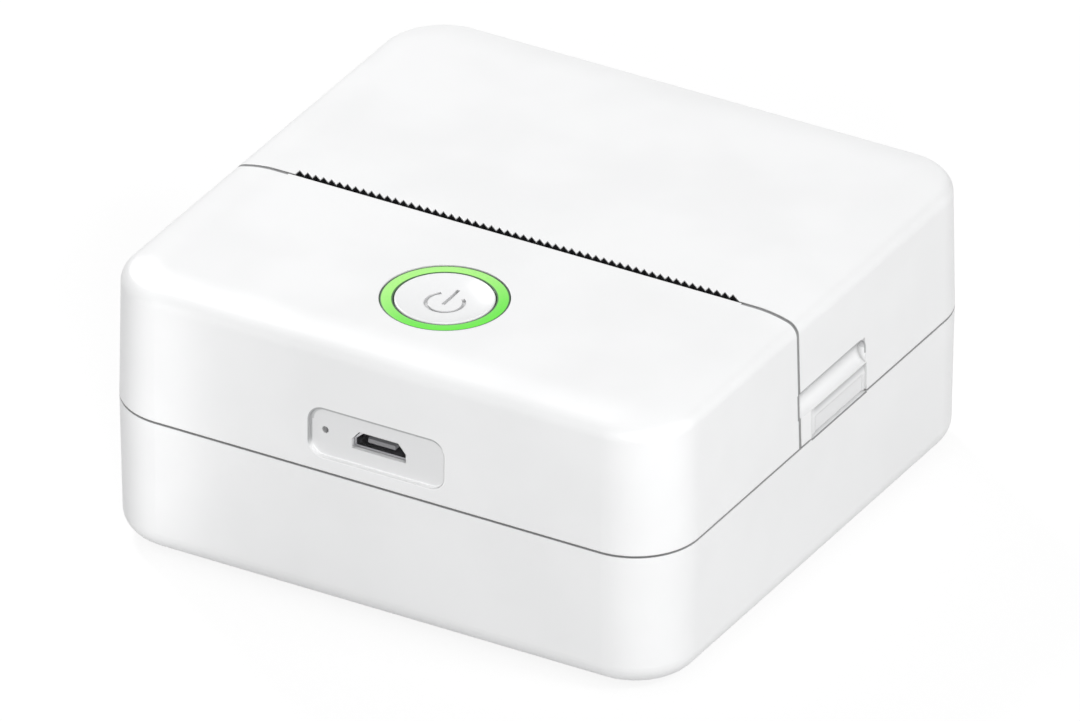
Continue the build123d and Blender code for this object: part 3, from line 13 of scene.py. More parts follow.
import bpy
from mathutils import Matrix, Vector


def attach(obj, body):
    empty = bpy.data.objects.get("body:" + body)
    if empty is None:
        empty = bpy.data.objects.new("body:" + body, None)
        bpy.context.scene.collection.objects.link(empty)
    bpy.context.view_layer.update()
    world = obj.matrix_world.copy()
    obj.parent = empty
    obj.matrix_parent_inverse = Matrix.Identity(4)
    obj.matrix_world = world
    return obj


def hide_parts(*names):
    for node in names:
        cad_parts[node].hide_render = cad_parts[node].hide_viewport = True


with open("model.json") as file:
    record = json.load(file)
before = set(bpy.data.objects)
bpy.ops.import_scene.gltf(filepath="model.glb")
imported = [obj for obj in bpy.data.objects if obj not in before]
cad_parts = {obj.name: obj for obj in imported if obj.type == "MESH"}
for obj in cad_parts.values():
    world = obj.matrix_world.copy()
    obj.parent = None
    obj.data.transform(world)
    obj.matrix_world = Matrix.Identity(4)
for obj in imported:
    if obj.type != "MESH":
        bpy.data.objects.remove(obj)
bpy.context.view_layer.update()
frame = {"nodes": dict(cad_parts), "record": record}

MM = 0.001

# %% [markdown]
# ## Camera
#
# The photograph is a parallel view from 30 degrees to the right and 30 degrees above. A very
# long lens at a great distance gives the same picture, and unlike an orthographic camera it
# can be moved back when the cover stands open. The width of the view and the small offset of
# its centre were worked out from the corners of the casing.

# %% Camera
SEAM_Z = 19.3 * MM
VIEW_TURN, VIEW_RISE = radians(30), radians(30)
VIEW_WIDTH = 132.18 * MM
LOOK_RIGHT, LOOK_DOWN = 0.206 * MM, 1.641 * MM  # the view's centre, from the middle of the seam
LENS_MM, SENSOR_MM = 900.0, 36.0

view_right = Vector((cos(VIEW_TURN), sin(VIEW_TURN), 0))
view_back = Vector(
    (sin(VIEW_TURN) * cos(VIEW_RISE), -cos(VIEW_TURN) * cos(VIEW_RISE), sin(VIEW_RISE))
)
view_up = view_back.cross(view_right)
look_at = Vector((0, 0, SEAM_Z)) + view_right * LOOK_RIGHT - view_up * LOOK_DOWN

camera = bpy.data.objects.new("camera", bpy.data.cameras.new("camera"))
bpy.context.collection.objects.link(camera)
camera.data.lens, camera.data.sensor_width = LENS_MM, SENSOR_MM
camera.data.clip_end = 50  # metres, far behind the object
camera.location = look_at + view_back * (VIEW_WIDTH * LENS_MM / SENSOR_MM)
camera.rotation_euler = (pi / 2 - VIEW_RISE, 0, VIEW_TURN)
bpy.context.scene.camera = camera
bpy.context.scene.view_settings.view_transform = "Standard"
print("camera stands", round((camera.location - look_at).length, 2), "m away")

# %% [markdown]
# ## Sums that become shader nodes
#
# A material is a graph of nodes, and a graph is hard to read as a list of links. Here one small
# class, Wire, stands for the end of a wire: a sum written with + - * / on it adds the Math node
# that does that sum, so a pattern reads like a formula. Every other node comes from one method of
# Graph, which takes the node's kind, its settings, and then the values or wires for its sockets.
# A Graph is the nodes of a material or of the world, and a Finish is a material round one
# Principled shader.


# %% The wire, the graph and the finish
class Wire:
    """The output of a node. Sums on it add Math nodes."""

    def __init__(self, graph, socket):
        self.graph, self.socket = graph, socket

    def out(self, name):
        """Another output of the same node."""
        return Wire(self.graph, self.socket.node.outputs[name])

    def math(self, operation, *values):
        return self.graph.node("Math", {"operation": operation}, *values)

    def __add__(self, other):
        return self.math("ADD", self, other)

    def __sub__(self, other):
        return self.math("SUBTRACT", self, other)

    def __rsub__(self, other):
        return self.math("SUBTRACT", other, self)

    def __mul__(self, other):
        return self.math("MULTIPLY", self, other)

    def __truediv__(self, other):
        return self.math("DIVIDE", self, other)

    def __rtruediv__(self, other):
        return self.math("DIVIDE", other, self)

    def __lt__(self, other):
        return self.math("LESS_THAN", self, other)

    def __gt__(self, other):
        return self.math("GREATER_THAN", self, other)

    def __abs__(self):
        return self.math("ABSOLUTE", self)

    __radd__, __rmul__ = __add__, __mul__

    def most(self, other):
        """The larger of the two, which for masks means one or the other."""
        return self.math("MAXIMUM", self, other)

    def across(self, other):
        """The diagonal of two lengths at right angles."""
        return self.math("SQRT", self * self + other * other)

    def ramp(self, low, high):
        """0 below low, 1 above high, and smooth between. Low may be the larger of the two."""
        return self.graph.node(
            "MapRange",
            {"interpolation_type": "SMOOTHSTEP"},
            Value=self, From_Min=low, From_Max=high,
        )


class Graph:
    """The nodes of a material or of the world. What feeds its surface is what shows."""

    def __init__(self, owner, output):
        owner.use_nodes = True
        self.tree = owner.node_tree
        self.tree.nodes.clear()
        self.surface = self.tree.nodes.new("ShaderNodeOutput" + output).inputs["Surface"]

    def node(self, kind, settings=None, *values, **sockets):
        """Adds a node, sets it up, and feeds its sockets with numbers, colours or wires."""
        node = self.tree.nodes.new("ShaderNode" + kind)
        for name, value in (settings or {}).items():
            setattr(node, name, value)
        open_inputs = [s for s in node.inputs if s.enabled]
        for socket, value in zip(open_inputs, values):
            self.feed(socket, value)
        for name, value in sockets.items():
            name = name.replace("_", " ")
            self.feed(next(s for s in open_inputs if s.name == name), value)
        return Wire(self, next(s for s in node.outputs if s.enabled))

    def feed(self, socket, value):
        if isinstance(value, Wire):
            self.tree.links.new(value.socket, socket)
        else:
            socket.default_value = value

    def seen_rays(self):
        """1 where the camera sees it, directly, in a mirror or through glass, and 0 elsewhere."""
        ray = self.node("LightPath")
        return ray.most(ray.out("Is Glossy Ray")).most(ray.out("Is Transmission Ray"))


class Finish(Graph):
    """A material, built around one Principled shader."""

    def __init__(self, name, colour, roughness, **sockets):
        self.name = name
        self.material = bpy.data.materials.new(name + "_finish")
        super().__init__(self.material, "Material")
        self.principled = self.node(
            "BsdfPrincipled", None, Base_Color=(*colour, 1), Roughness=roughness, **sockets
        )
        self.feed(self.surface, self.principled)
        self.place = None

    def set(self, **sockets):
        """Feeds the Principled shader's own sockets."""
        for name, value in sockets.items():
            self.feed(self.principled.socket.node.inputs[name.replace("_", " ")], value)

    def where(self):
        """The place on the object, in metres."""
        if self.place is None:
            self.place = self.node("TexCoord").out("Object")
        return self.place

    def axes(self):
        """The place as three wires, x, y and z."""
        split = self.node("SeparateXYZ", None, self.where())
        return split, split.out("Y"), split.out("Z")

    def noise(self, size, detail=2.0, roughness=0.5, stretch=None):
        """Soft random patches about size metres across. stretch scales the pattern per axis."""
        place = self.where()
        if stretch:
            place = self.node("Mapping", None, Vector=place, Scale=stretch)
        return self.node(
            "TexNoise", None, Vector=place, Scale=1 / size, Detail=detail, Roughness=roughness
        )

    def blend(self, amount, first, second):
        """A colour between two colours."""
        return self.node(
            "Mix", {"data_type": "RGBA"}, Factor=amount,
            A=first if isinstance(first, Wire) else (*first, 1),
            B=second if isinstance(second, Wire) else (*second, 1),
        )

    def bump(self, height, depth, edge=None):
        """Raises the surface by height times depth metres, for the light only.

        With edge, sharp edges catch the light as if they were rounded by that radius."""
        relief = self.node("Bump", None, Strength=1.0, Distance=depth, Height=height)
        self.relief = relief.socket.node
        if edge:
            self.feed(self.relief.inputs["Normal"], self.node("Bevel", {"samples": 6}, Radius=edge))
        self.set(Normal=relief)


print("wires and finishes are ready")

# %% [markdown]
# ## Light
#
# The photograph is a bright, nearly shadowless studio picture: the top is almost as white as
# the background, the two sides are a little greyer, the upright corner in front is the brightest
# and the left outline the darkest. So the main lamp stands in front on the right, near the camera,
# and leaves the left outline alone. A second one, high behind on the left, lights the top and
# shades the left half of the button's dish, two from the right lift the right side, and a narrow
# strip close to the left corner gives the upright bright band there. The even world is only a fill,
# except that the camera, mirrors and glass see it at full white.


# %% World and lamps
WORLD_LEVEL = 0.38

world = bpy.data.worlds.new("studio")
bpy.context.scene.world = world
studio = Graph(world, "World")
level = studio.seen_rays() * (1 - WORLD_LEVEL) + WORLD_LEVEL
studio.feed(studio.surface, studio.node("Background", None, Color=(1, 1, 1, 1), Strength=level))


def soft_lamp(name, place, aim, width, height, watts):
    """A rectangular lamp at place, turned towards aim. The camera doesn't see the lamp itself."""
    lamp = bpy.data.objects.new(name, bpy.data.lights.new(name, "AREA"))
    bpy.context.collection.objects.link(lamp)
    lamp.data.shape, lamp.data.size, lamp.data.size_y = "RECTANGLE", width, height
    lamp.data.energy = watts
    lamp.location = place
    lamp.rotation_euler = (Vector(aim) - Vector(place)).to_track_quat("-Z", "Y").to_euler()
    lamp.visible_camera = False
    print(name, "reaches the object from", round((Vector(aim) - Vector(place)).length, 2), "m")


MIDDLE = (0, 0, 0.02)
soft_lamp("lamp_front", (0.42, -0.66, 0.33), MIDDLE, 0.18, 0.18, 3.88)
soft_lamp("lamp_behind", (-0.50, 0.33, 0.48), MIDDLE, 0.16, 0.16, 2.8)
soft_lamp("lamp_right", (0.62, 0.30, 0.14), MIDDLE, 0.20, 0.30, 0.35)
soft_lamp("lamp_right_high", (0.58, 0.05, 0.52), MIDDLE, 0.16, 0.16, 1.25)
soft_lamp("strip_left", (-0.0340, -0.0505, 0.019), (-0.0340, -0.0390, 0.019), 0.004, 0.060, 0.0011)

# %% [markdown]
# ## Floor
#
# The floor is white paper. Seen directly or in a reflection it shows at full white, with a
# share of its real shading mixed in, so that the object keeps its faint soft shadow. For every
# other ray it is a paler grey that throws less light back up, or the undersides of the edges
# would lose their shade. Far out, where the lamps no longer reach, its own white is a little
# stronger, so that it meets the white world without a horizon. It is one-sided: from below it is
# clear, so that the feet can be seen.

# %% Floor
bpy.ops.object.select_all(action="DESELECT")
bpy.ops.mesh.primitive_plane_add(size=6, location=(0, 0, -0.02 * MM))
floor = bpy.context.object
floor.name = "floor"

PAPER_GREY, SHADE_GREY = (0.45, 0.45, 0.45), (0.18, 0.18, 0.18, 1)
NEAR_WHITE, FAR_WHITE = (0.84, 0.84, 0.84), (0.932, 0.932, 0.932)
NEAR_M, FAR_M = 0.2, 0.8  # from the middle of the floor

paper = Finish("studio_paper", PAPER_GREY, 0.9)
x, y, _ = paper.axes()
far_out = x.across(y).ramp(NEAR_M, FAR_M)
glow = paper.blend(far_out, NEAR_WHITE, FAR_WHITE)
white = paper.node("Emission", None, Color=glow, Strength=1.0)
shaded = paper.node("BsdfDiffuse", None, Color=SHADE_GREY)
bright = paper.node("AddShader", None, white, shaded)
mixed = paper.node("MixShader", None, paper.seen_rays(), paper.principled, bright)
below = paper.node("NewGeometry").out("Backfacing")
paper.feed(
    paper.surface, paper.node("MixShader", None, below, mixed, paper.node("BsdfTransparent"))
)
floor.data.materials.append(paper.material)
print("floor is", floor.dimensions.x, "m wide")

# %% [markdown]
# ## Moulded plastics
#
# The casing is white ABS from a finely eroded mould: smooth to the eye, with a grain of about
# a tenth of a millimetre that softens its highlights. The grain is only a bump, because the eye
# sees it only as softness. A slow change of tone and gloss keeps a large plain wall from looking
# computed. No moulded edge is razor sharp, so the Bevel node bends the light at every edge of the
# solids as a radius of a fifth of a millimetre would, and the Ambient Occlusion node paints shade
# into the colour of the narrow corners and gaps. The inner plastics are the same idea in other
# colours, without the softened edges and the painted shade.


# %% Plastics
CASING_WHITE = (0.875, 0.878, 0.882)
GRAIN, GRAIN_DEPTH, PATCH = 0.12 * MM, 0.004 * MM, 14 * MM
GLOSS_DRIFT = 0.05
# At the first share of open air the painted shade is full, at the second it is gone.
FULL_SHADE_AIR, NO_SHADE_AIR = 0.25, 0.97  # share of open air round a place


def moulded(
    name, colour, roughness, grain=GRAIN, depth=GRAIN_DEPTH, drift=0.015,
    edge=None, shade_reach=None, **sockets
):
    """A moulded plastic: even colour, slow drift of tone and a fine grain.

    With edge, its edges look rounded by that radius. With shade_reach, corners and gaps narrower
    than that many metres get painted shade in their colour."""
    finish = Finish(name, colour, roughness, **sockets)
    patches = finish.noise(PATCH, 2).ramp(0.3, 0.7)
    fine = finish.noise(grain, 3, 0.6)
    darker = tuple(c * (1 - drift) for c in colour)
    lighter = tuple(min(1.0, c * (1 + drift)) for c in colour)
    finish.tone = finish.blend(patches, darker, lighter)
    if shade_reach:
        # Painted shade: the Ambient Occlusion node darkens the colour of corners and gaps, down to
        # half.
        open_air = finish.node("AmbientOcclusion", {"samples": 8}, Distance=shade_reach).out("AO")
        painted_shade_tone = tuple(c * 0.5 for c in colour)
        finish.tone = finish.blend(open_air.ramp(FULL_SHADE_AIR, NO_SHADE_AIR), painted_shade_tone, finish.tone)
    finish.set(
        Base_Color=finish.tone, Roughness=patches * GLOSS_DRIFT + (roughness - GLOSS_DRIFT / 2)
    )
    finish.grain = fine
    finish.bump(fine, depth, edge)
    return finish


white_plastic = moulded(
    "white_plastic", CASING_WHITE, 0.36, edge=0.2 * MM, shade_reach=1.0 * MM, IOR=1.5
)
button_plastic = moulded(
    "button_plastic", (0.86, 0.865, 0.87), 0.30, edge=0.1 * MM, shade_reach=0.5 * MM, IOR=1.5
)
black_plastic = moulded(
    "black_plastic", (0.018, 0.018, 0.020), 0.48, grain=0.2 * MM, depth=0.01 * MM, drift=0.12
)
bush_plastic = moulded("bush_plastic", (0.040, 0.040, 0.042), 0.42, drift=0.08)
gear_plastic = moulded("gear_plastic", (0.80, 0.78, 0.70), 0.34, drift=0.02)
chip_plastic = moulded("chip_plastic", (0.022, 0.022, 0.024), 0.55, grain=0.08 * MM, drift=0.1)
socket_grey = moulded("socket_grey", (0.23, 0.23, 0.24), 0.5, drift=0.05)
print("plastics:", white_plastic.name, black_plastic.name, gear_plastic.name)

# %% [markdown]
# ## Panel round the charging socket
#
# The casing is one plastic, but not one colour. Its special places are masks, from 0 to 1, made
# of limits in x, y and z, and later cells blend the colours by them. The recessed panel is
# greyer, which is painted shade. Its outline is a rounded rectangle, so the distance to it is
# worked out from the flats and the corner radius. Its upper left rim and the strip of panel under
# its top rim get painted shade, while its lower right rim gets a painted highlight.

# %% Panel masks
PANEL_Y, PANEL_Z = -38.71 * MM, 24.675 * MM
PANEL_HALF, PANEL_LOW, PANEL_HIGH = 14 * MM, 20.6 * MM, 28.8 * MM
PANEL_FLAT_X, PANEL_FLAT_Z, PANEL_R = 7.5 * MM, 1.35 * MM, 2.0 * MM
PANEL_NEAR = 0.1 * MM
FRAME_CORE, FRAME_EDGE = 0.14 * MM, 0.22 * MM
SHADE_START, SHADE_END = -0.50 * MM, -0.25 * MM
LEFT_SLOPE, SHADED_SIDE_LOW, SHADED_SIDE_HIGH = 0.25, -0.3 * MM, 1.2 * MM

x, y, z = white_plastic.axes()
side_x = abs(x)
on_panel = (abs(y - PANEL_Y) < PANEL_NEAR) * (side_x < PANEL_HALF)
on_panel = on_panel * (z > PANEL_LOW) * (z < PANEL_HIGH)
rise = z - PANEL_Z
corner_x, corner_z = (side_x - PANEL_FLAT_X).most(0), (abs(rise) - PANEL_FLAT_Z).most(0)
from_frame = corner_x.across(corner_z) - PANEL_R
# The panel's rim gets a painted highlight; its upper left side and the panel under its top rim get
# painted shade.
at_frame = abs(from_frame).ramp(FRAME_EDGE, FRAME_CORE) * (y < PANEL_Y + PANEL_NEAR)
under_frame = on_panel * from_frame.ramp(SHADE_START, SHADE_END) * (rise > PANEL_FLAT_Z)
# upper_left is the upper left side of the rim, which gets painted shade in place of the painted
# highlight.
upper_left = (rise - x * LEFT_SLOPE).ramp(SHADED_SIDE_LOW, SHADED_SIDE_HIGH)
panel_size = [round(2 * (flat + PANEL_R) / MM, 2) for flat in (PANEL_FLAT_X, PANEL_FLAT_Z)]
print("panel is", panel_size, "mm")

# %% [markdown]
# ## Parting line
#
# A band of painted shade darkens the edges of the gap between the front and the cover, at both
# ends of the saw teeth and down both sides. The band leans as the gap does. It stays on the outer
# skin, or the cut faces inside would turn grey when the cover stands open.

# %% Parting line mask
PARTING_Y, PARTING_TOP, PARTING_LEAN = -5.90 * MM, 37.5 * MM, 0.0164
TEETH_HALF = 31.9 * MM
SKIN_X, SKIN_Z, SKIN_REACH = 35.0 * MM, 32.9 * MM, 4.3 * MM
BAND_CORE, BAND_EDGE = 0.21 * MM, 0.29 * MM

from_parting = y - (PARTING_TOP - z) * PARTING_LEAN - PARTING_Y
on_skin = (side_x - SKIN_X).most(0).across((z - SKIN_Z).most(0)) > SKIN_REACH
at_parting = abs(from_parting).ramp(BAND_EDGE, BAND_CORE) * (side_x > TEETH_HALF)
at_parting = at_parting * (z > SEAM_Z) * on_skin
print("greyed band is", round(2 * BAND_EDGE / MM, 2), "mm wide")

# %% [markdown]
# ## Finger grips
#
# Each side of the cover has a grip: a shallow scoop with a pocket for the fingertip under it. The
# pocket gets most of the panel's painted shade, and more painted shade lies under its lip, along
# the scoop's upper rim and on the scoop's upper half. The rim of the base shows under the pocket as
# a narrow ledge in plain casing white, free of the corners' painted shade, with the seam's thin
# line of painted shade, and the parting line's band of painted shade goes on down beside the scoop.

# %% Grip masks
SIDE_X, RIM_X, EDGE_X = 38 * MM, 39.75 * MM, 39.86 * MM
POCKET_START, POCKET_END, POCKET_TOP = -2.7 * MM, 10.9 * MM, SEAM_Z + 3.95 * MM
LIP_SHADE, LIP_CORE = 1.4 * MM, 0.3 * MM  # depths under the lip
LIP_FADE, LIP_FULL = -2.4 * MM, -0.8 * MM  # places along it
LEDGE_Z, LEDGE_HALF, SEAM_HALF = 19.15 * MM, 0.03 * MM, 0.14 * MM
SCOOP_START, SCOOP_END, SCOOP_CORNER = -5.5 * MM, 10.6 * MM, 1.5 * MM
SCOOP_LOW, SCOOP_TOP = SEAM_Z + 4.1 * MM, SEAM_Z + 7.6 * MM
RIM_CORE, RIM_EDGE, RIM_LOW = 0.10 * MM, 0.24 * MM, SCOOP_LOW + 1.3 * MM
BESIDE_SHIFT, BESIDE_HALF = 0.2 * MM, 0.22 * MM

on_side = side_x > SIDE_X
by_pocket = on_side * (y > POCKET_START) * (y < POCKET_END)
in_pocket = by_pocket * (z > SEAM_Z) * (z < POCKET_TOP)
under_lip = in_pocket * (POCKET_TOP - z).ramp(LIP_SHADE, LIP_CORE) * y.ramp(LIP_FADE, LIP_FULL)
on_ledge = by_pocket * (abs(z - LEDGE_Z) < LEDGE_HALF)
at_seam = by_pocket * (abs(z - LEDGE_Z) < SEAM_HALF) * (side_x > EDGE_X)

past_end = (y - (SCOOP_END - SCOOP_CORNER)).most(0)
past_top = (z - (SCOOP_TOP - SCOOP_CORNER)).most(0)
from_rim = abs(past_end.across(past_top) - SCOOP_CORNER)
at_rim = from_rim.ramp(RIM_EDGE, RIM_CORE) * (side_x > RIM_X) * (y > SCOOP_START) * (z > RIM_LOW)
up = (z - SCOOP_LOW) / (SCOOP_TOP - SCOOP_LOW)
at_scoop = (up > 0) * (up < 1)
in_scoop = on_side * at_scoop * (y > SCOOP_START) * (y < SCOOP_END)
beside_scoop = (side_x > RIM_X) * at_scoop * (abs(from_parting + BESIDE_SHIFT) < BESIDE_HALF)
print("scoop is", round((SCOOP_TOP - SCOOP_LOW) / MM, 2), "mm high")

# %% [markdown]
# ## The casing's colour and the bow of the scoops
#
# The colours go on in order, each over the one before: the painted shade of the recesses, the
# painted highlight on the panel's rim, the painted shade, the ledge in plain casing white and last
# the dark lines of painted shade along the gaps. The photograph shades the scoops as if they were
# a little deeper than their solids, so the bump is lowered there by a parabola. It works in the
# units of the grain's bump, and only the light sees it.

# %% Casing colour and bow
PAINTED_RECESS_SHADE, PAINTED_RIM_HIGHLIGHT = (0.78, 0.783, 0.788), (0.96, 0.962, 0.965)
PAINTED_SHADE_GREY, PAINTED_GAP_SHADE = (0.43, 0.435, 0.44), (0.25, 0.25, 0.255)
# Shares of the recess's painted shade in the pocket, and of the painted shade under the panel's top
# rim and on the scoop.
POCKET_SHARE, SHADE_SHARE, SCOOP_SHARE = 0.85, 0.7, 0.5
SCOOP_BOW = 0.4 * MM

# Painted shade: under the pocket's lip, along the scoop's upper rim, on the scoop's upper half, on
# the panel's upper left rim and under its top rim.
painted_shade_mask = under_lip.most(at_rim).most(in_scoop * up.ramp(0.2, 0.75) * SCOOP_SHARE)
painted_shade_mask = painted_shade_mask.most(at_frame.most(under_frame * SHADE_SHARE) * upper_left)
# Dark lines of painted shade along the gaps: the parting line, beside the scoops, and the seam
# under the pocket.
lines = at_parting.most(beside_scoop).most(at_seam)

# The recessed panel and the pocket get painted shade; the ledge goes back to plain casing white.
shown = white_plastic.blend(on_panel.most(in_pocket * POCKET_SHARE), white_plastic.tone, PAINTED_RECESS_SHADE)
for mask, colour in (
    (at_frame, PAINTED_RIM_HIGHLIGHT), (painted_shade_mask, PAINTED_SHADE_GREY), (on_ledge, CASING_WHITE), (lines, PAINTED_GAP_SHADE)
):
    shown = white_plastic.blend(mask, shown, colour)
white_plastic.set(Base_Color=shown)

bow = up * (1 - up) * in_scoop * (4 * SCOOP_BOW / GRAIN_DEPTH)
white_plastic.feed(white_plastic.relief.inputs["Height"], white_plastic.grain - bow)
print("scoops are bowed by", round(SCOOP_BOW / MM, 2), "mm")

# %% [markdown]
# ## Rubbers
#
# The roller that carries the paper is ground black rubber: its surface shows the fine lines of
# the grinding wheel, round the roller. The feet are soft grey pads with a dull skin.

# %% Rubbers
black_rubber = Finish("black_rubber", (0.028, 0.028, 0.030), 0.72)
ground_lines = black_rubber.noise(0.25 * MM, 2, 0.5, stretch=(1, 0.05, 0.05))
dust = black_rubber.noise(5 * MM, 3)
dusted = black_rubber.blend(dust.ramp(0.35, 0.75), (0.024, 0.024, 0.026), (0.045, 0.045, 0.047))
black_rubber.set(Base_Color=dusted, Roughness=ground_lines * 0.14 + 0.64)
black_rubber.bump(ground_lines, 0.015 * MM)

foot_rubber = Finish("foot_rubber", (0.50, 0.51, 0.52), 0.8)
skin = foot_rubber.noise(0.4 * MM, 4, 0.6)
foot_rubber.set(Base_Color=foot_rubber.blend(skin, (0.46, 0.47, 0.48), (0.54, 0.55, 0.56)))
foot_rubber.bump(skin, 0.02 * MM)
print("rubbers:", black_rubber.name, foot_rubber.name)

# %% [markdown]
# ## Metals
#
# Ground pins and springs, plated screws, the drawn can of the motor, the folded shell of the
# charging socket and the extruded heat sink differ in tone and in the direction of their
# working marks. One helper makes them: a metal whose fine marks run along one axis, with a
# slow change of gloss where hands and tools have touched it.


# %% Metals
def worked_metal(name, colour, roughness, marks=(1, 1, 1), size=0.3 * MM, depth=0.004 * MM):
    """A metal with working marks; marks squeezes the pattern per axis, small along the marks."""
    finish = Finish(name, colour, roughness, Metallic=1.0)
    lines = finish.noise(size, 3, 0.55, stretch=marks)
    patina = finish.noise(4 * MM, 3)
    finish.set(
        Base_Color=finish.blend(patina.ramp(0.3, 0.8), tuple(c * 0.92 for c in colour), colour),
        Roughness=lines * 0.16 + patina * 0.08 + (roughness - 0.12),
    )
    finish.bump(lines, depth)
    return finish


steel = worked_metal("steel", (0.72, 0.72, 0.73), 0.28, marks=(1, 0.06, 0.06))
screw_steel = worked_metal("screw_steel", (0.62, 0.62, 0.63), 0.34)
motor_steel = worked_metal("motor_steel", (0.66, 0.66, 0.68), 0.32, marks=(0.05, 1, 1))
socket_steel = worked_metal("socket_steel", (0.60, 0.60, 0.62), 0.30, marks=(0.1, 1, 0.1))
heatsink_metal = worked_metal(
    "heatsink_metal", (0.76, 0.77, 0.79), 0.36, marks=(0.04, 1, 1), size=0.2 * MM
)
pinion_brass = worked_metal("pinion_brass", (0.80, 0.62, 0.30), 0.30, marks=(0.08, 1, 1))
print("metals:", steel.name, heatsink_metal.name, pinion_brass.name)

# %% [markdown]
# ## Boards, battery and print strip
#
# The circuit boards are green glass-fibre laminate: the weave shows faintly through the
# lacquer, and copper tracks under it read as slightly lighter lines. The battery is wrapped in
# crinkled silver foil. The print strip is glazed ceramic with one thin dark heater line.

# %% Boards, foil and ceramic
WEAVE_PITCH, TRACK_CELL = 0.5 * MM, 2.6 * MM
HEATER_Z, HEATER_CORE, HEATER_EDGE = 28.05 * MM, 0.22 * MM, 0.35 * MM
LACQUER, THREAD, COPPER = (0.012, 0.13, 0.045), (0.03, 0.20, 0.07), (0.06, 0.34, 0.13)
GLAZE, HEATER = (0.80, 0.79, 0.75), (0.10, 0.07, 0.05)

board_laminate = Finish(
    "board_laminate", (0.02, 0.16, 0.06), 0.32, Coat_Weight=0.5, Coat_Roughness=0.12
)
x, y, _ = board_laminate.axes()
turns = 2 * pi / WEAVE_PITCH
weave = abs(x.math("SINE", x * turns)) * abs(y.math("SINE", y * turns))
cells = board_laminate.node(
    "TexVoronoi", {"feature": "DISTANCE_TO_EDGE"},
    Vector=board_laminate.where(), Scale=1 / TRACK_CELL,
)
tracks = cells.ramp(0.09, 0.06)
woven = board_laminate.blend(weave * 0.4, LACQUER, THREAD)
board_laminate.set(Base_Color=board_laminate.blend(tracks * 0.55, woven, COPPER))
board_laminate.bump(tracks, 0.03 * MM)

cell_foil = Finish("cell_foil", (0.72, 0.73, 0.75), 0.3, Metallic=0.85)
crinkle = cell_foil.noise(2.2 * MM, 5, 0.62)
cell_foil.set(
    Base_Color=cell_foil.blend(crinkle, (0.62, 0.63, 0.65), (0.78, 0.79, 0.81)),
    Roughness=crinkle * 0.2 + 0.2,
)
cell_foil.bump(crinkle, 0.18 * MM)

strip_ceramic = Finish("strip_ceramic", GLAZE, 0.18, Coat_Weight=0.6, Coat_Roughness=0.06)
_, _, z = strip_ceramic.axes()
heater = abs(z - HEATER_Z).ramp(HEATER_EDGE, HEATER_CORE)
strip_ceramic.set(Base_Color=strip_ceramic.blend(heater, GLAZE, HEATER))

led_resin = moulded("led_resin", (0.72, 0.76, 0.60), 0.2, drift=0.05)
print("boards and strip:", board_laminate.name, strip_ceramic.name)

# %% [markdown]
# ## The light ring's finish
#
# The ring is clear green plastic over four small lamps. Its colour holds painted light: it is
# lighter at the left and the back, and deeper green at the right and the front. Both of its edges
# get painted shade, where it meets the button and the casing. The colour follows the place on the
# ring: the distance from its middle gives the shaded edges, and a slope across it the tone.

# %% Light ring finish
BUTTON_X, BUTTON_Y = 0.0, -22.7 * MM
RING_INNER, RING_MIDDLE, RING_OUTER = 6.3, 7.1, 8.0
DARK_EDGE, DARK_CORE = 0.27, 0.27 * 0.6
TONE_LEFT, TONE_BACK, TONE_SLOPE = 0.78, 0.62, 6 * MM

green_light_pipe = Finish(
    "green_light_pipe", (0.2, 0.8, 0.08), 0.22, Coat_Weight=0.15, Coat_Roughness=0.1
)
x, y, _ = green_light_pipe.axes()
from_x, from_y = x - BUTTON_X, y - BUTTON_Y
reach = from_x.across(from_y)
# Painted shade along both edges of the ring.
inner_edge = reach.ramp((RING_INNER + DARK_EDGE) * MM, (RING_INNER + DARK_CORE) * MM)
outer_edge = reach.ramp((RING_OUTER - DARK_EDGE) * MM, (RING_OUTER - DARK_CORE) * MM)
# Painted light: lighter towards the left and the back, deeper green towards the right and the
# front.
lit_side = (from_y * TONE_BACK - from_x * TONE_LEFT).ramp(-TONE_SLOPE, TONE_SLOPE)
lit_green = green_light_pipe.blend(lit_side, (0.12, 0.80, 0.03), (0.40, 0.93, 0.20))
green_light_pipe.set(
    Base_Color=green_light_pipe.blend(inner_edge.most(outer_edge), lit_green, (0.016, 0.095, 0.014))
)
print("ring is", round(RING_OUTER - RING_INNER, 2), "mm wide")

# %% [markdown]
# ## Turning and finishing pieces
#
# The button, the light ring, the feet and the screws are all round things that come off a lathe
# or out of a round mould. Each is made as a lathe would see it: a ring of points, pulled on from
# one radius and height to the next, with all faces turned outwards. A last call moves the origin
# to the frame's, smooths the shading, puts on the finish and lets the piece ride on its body.


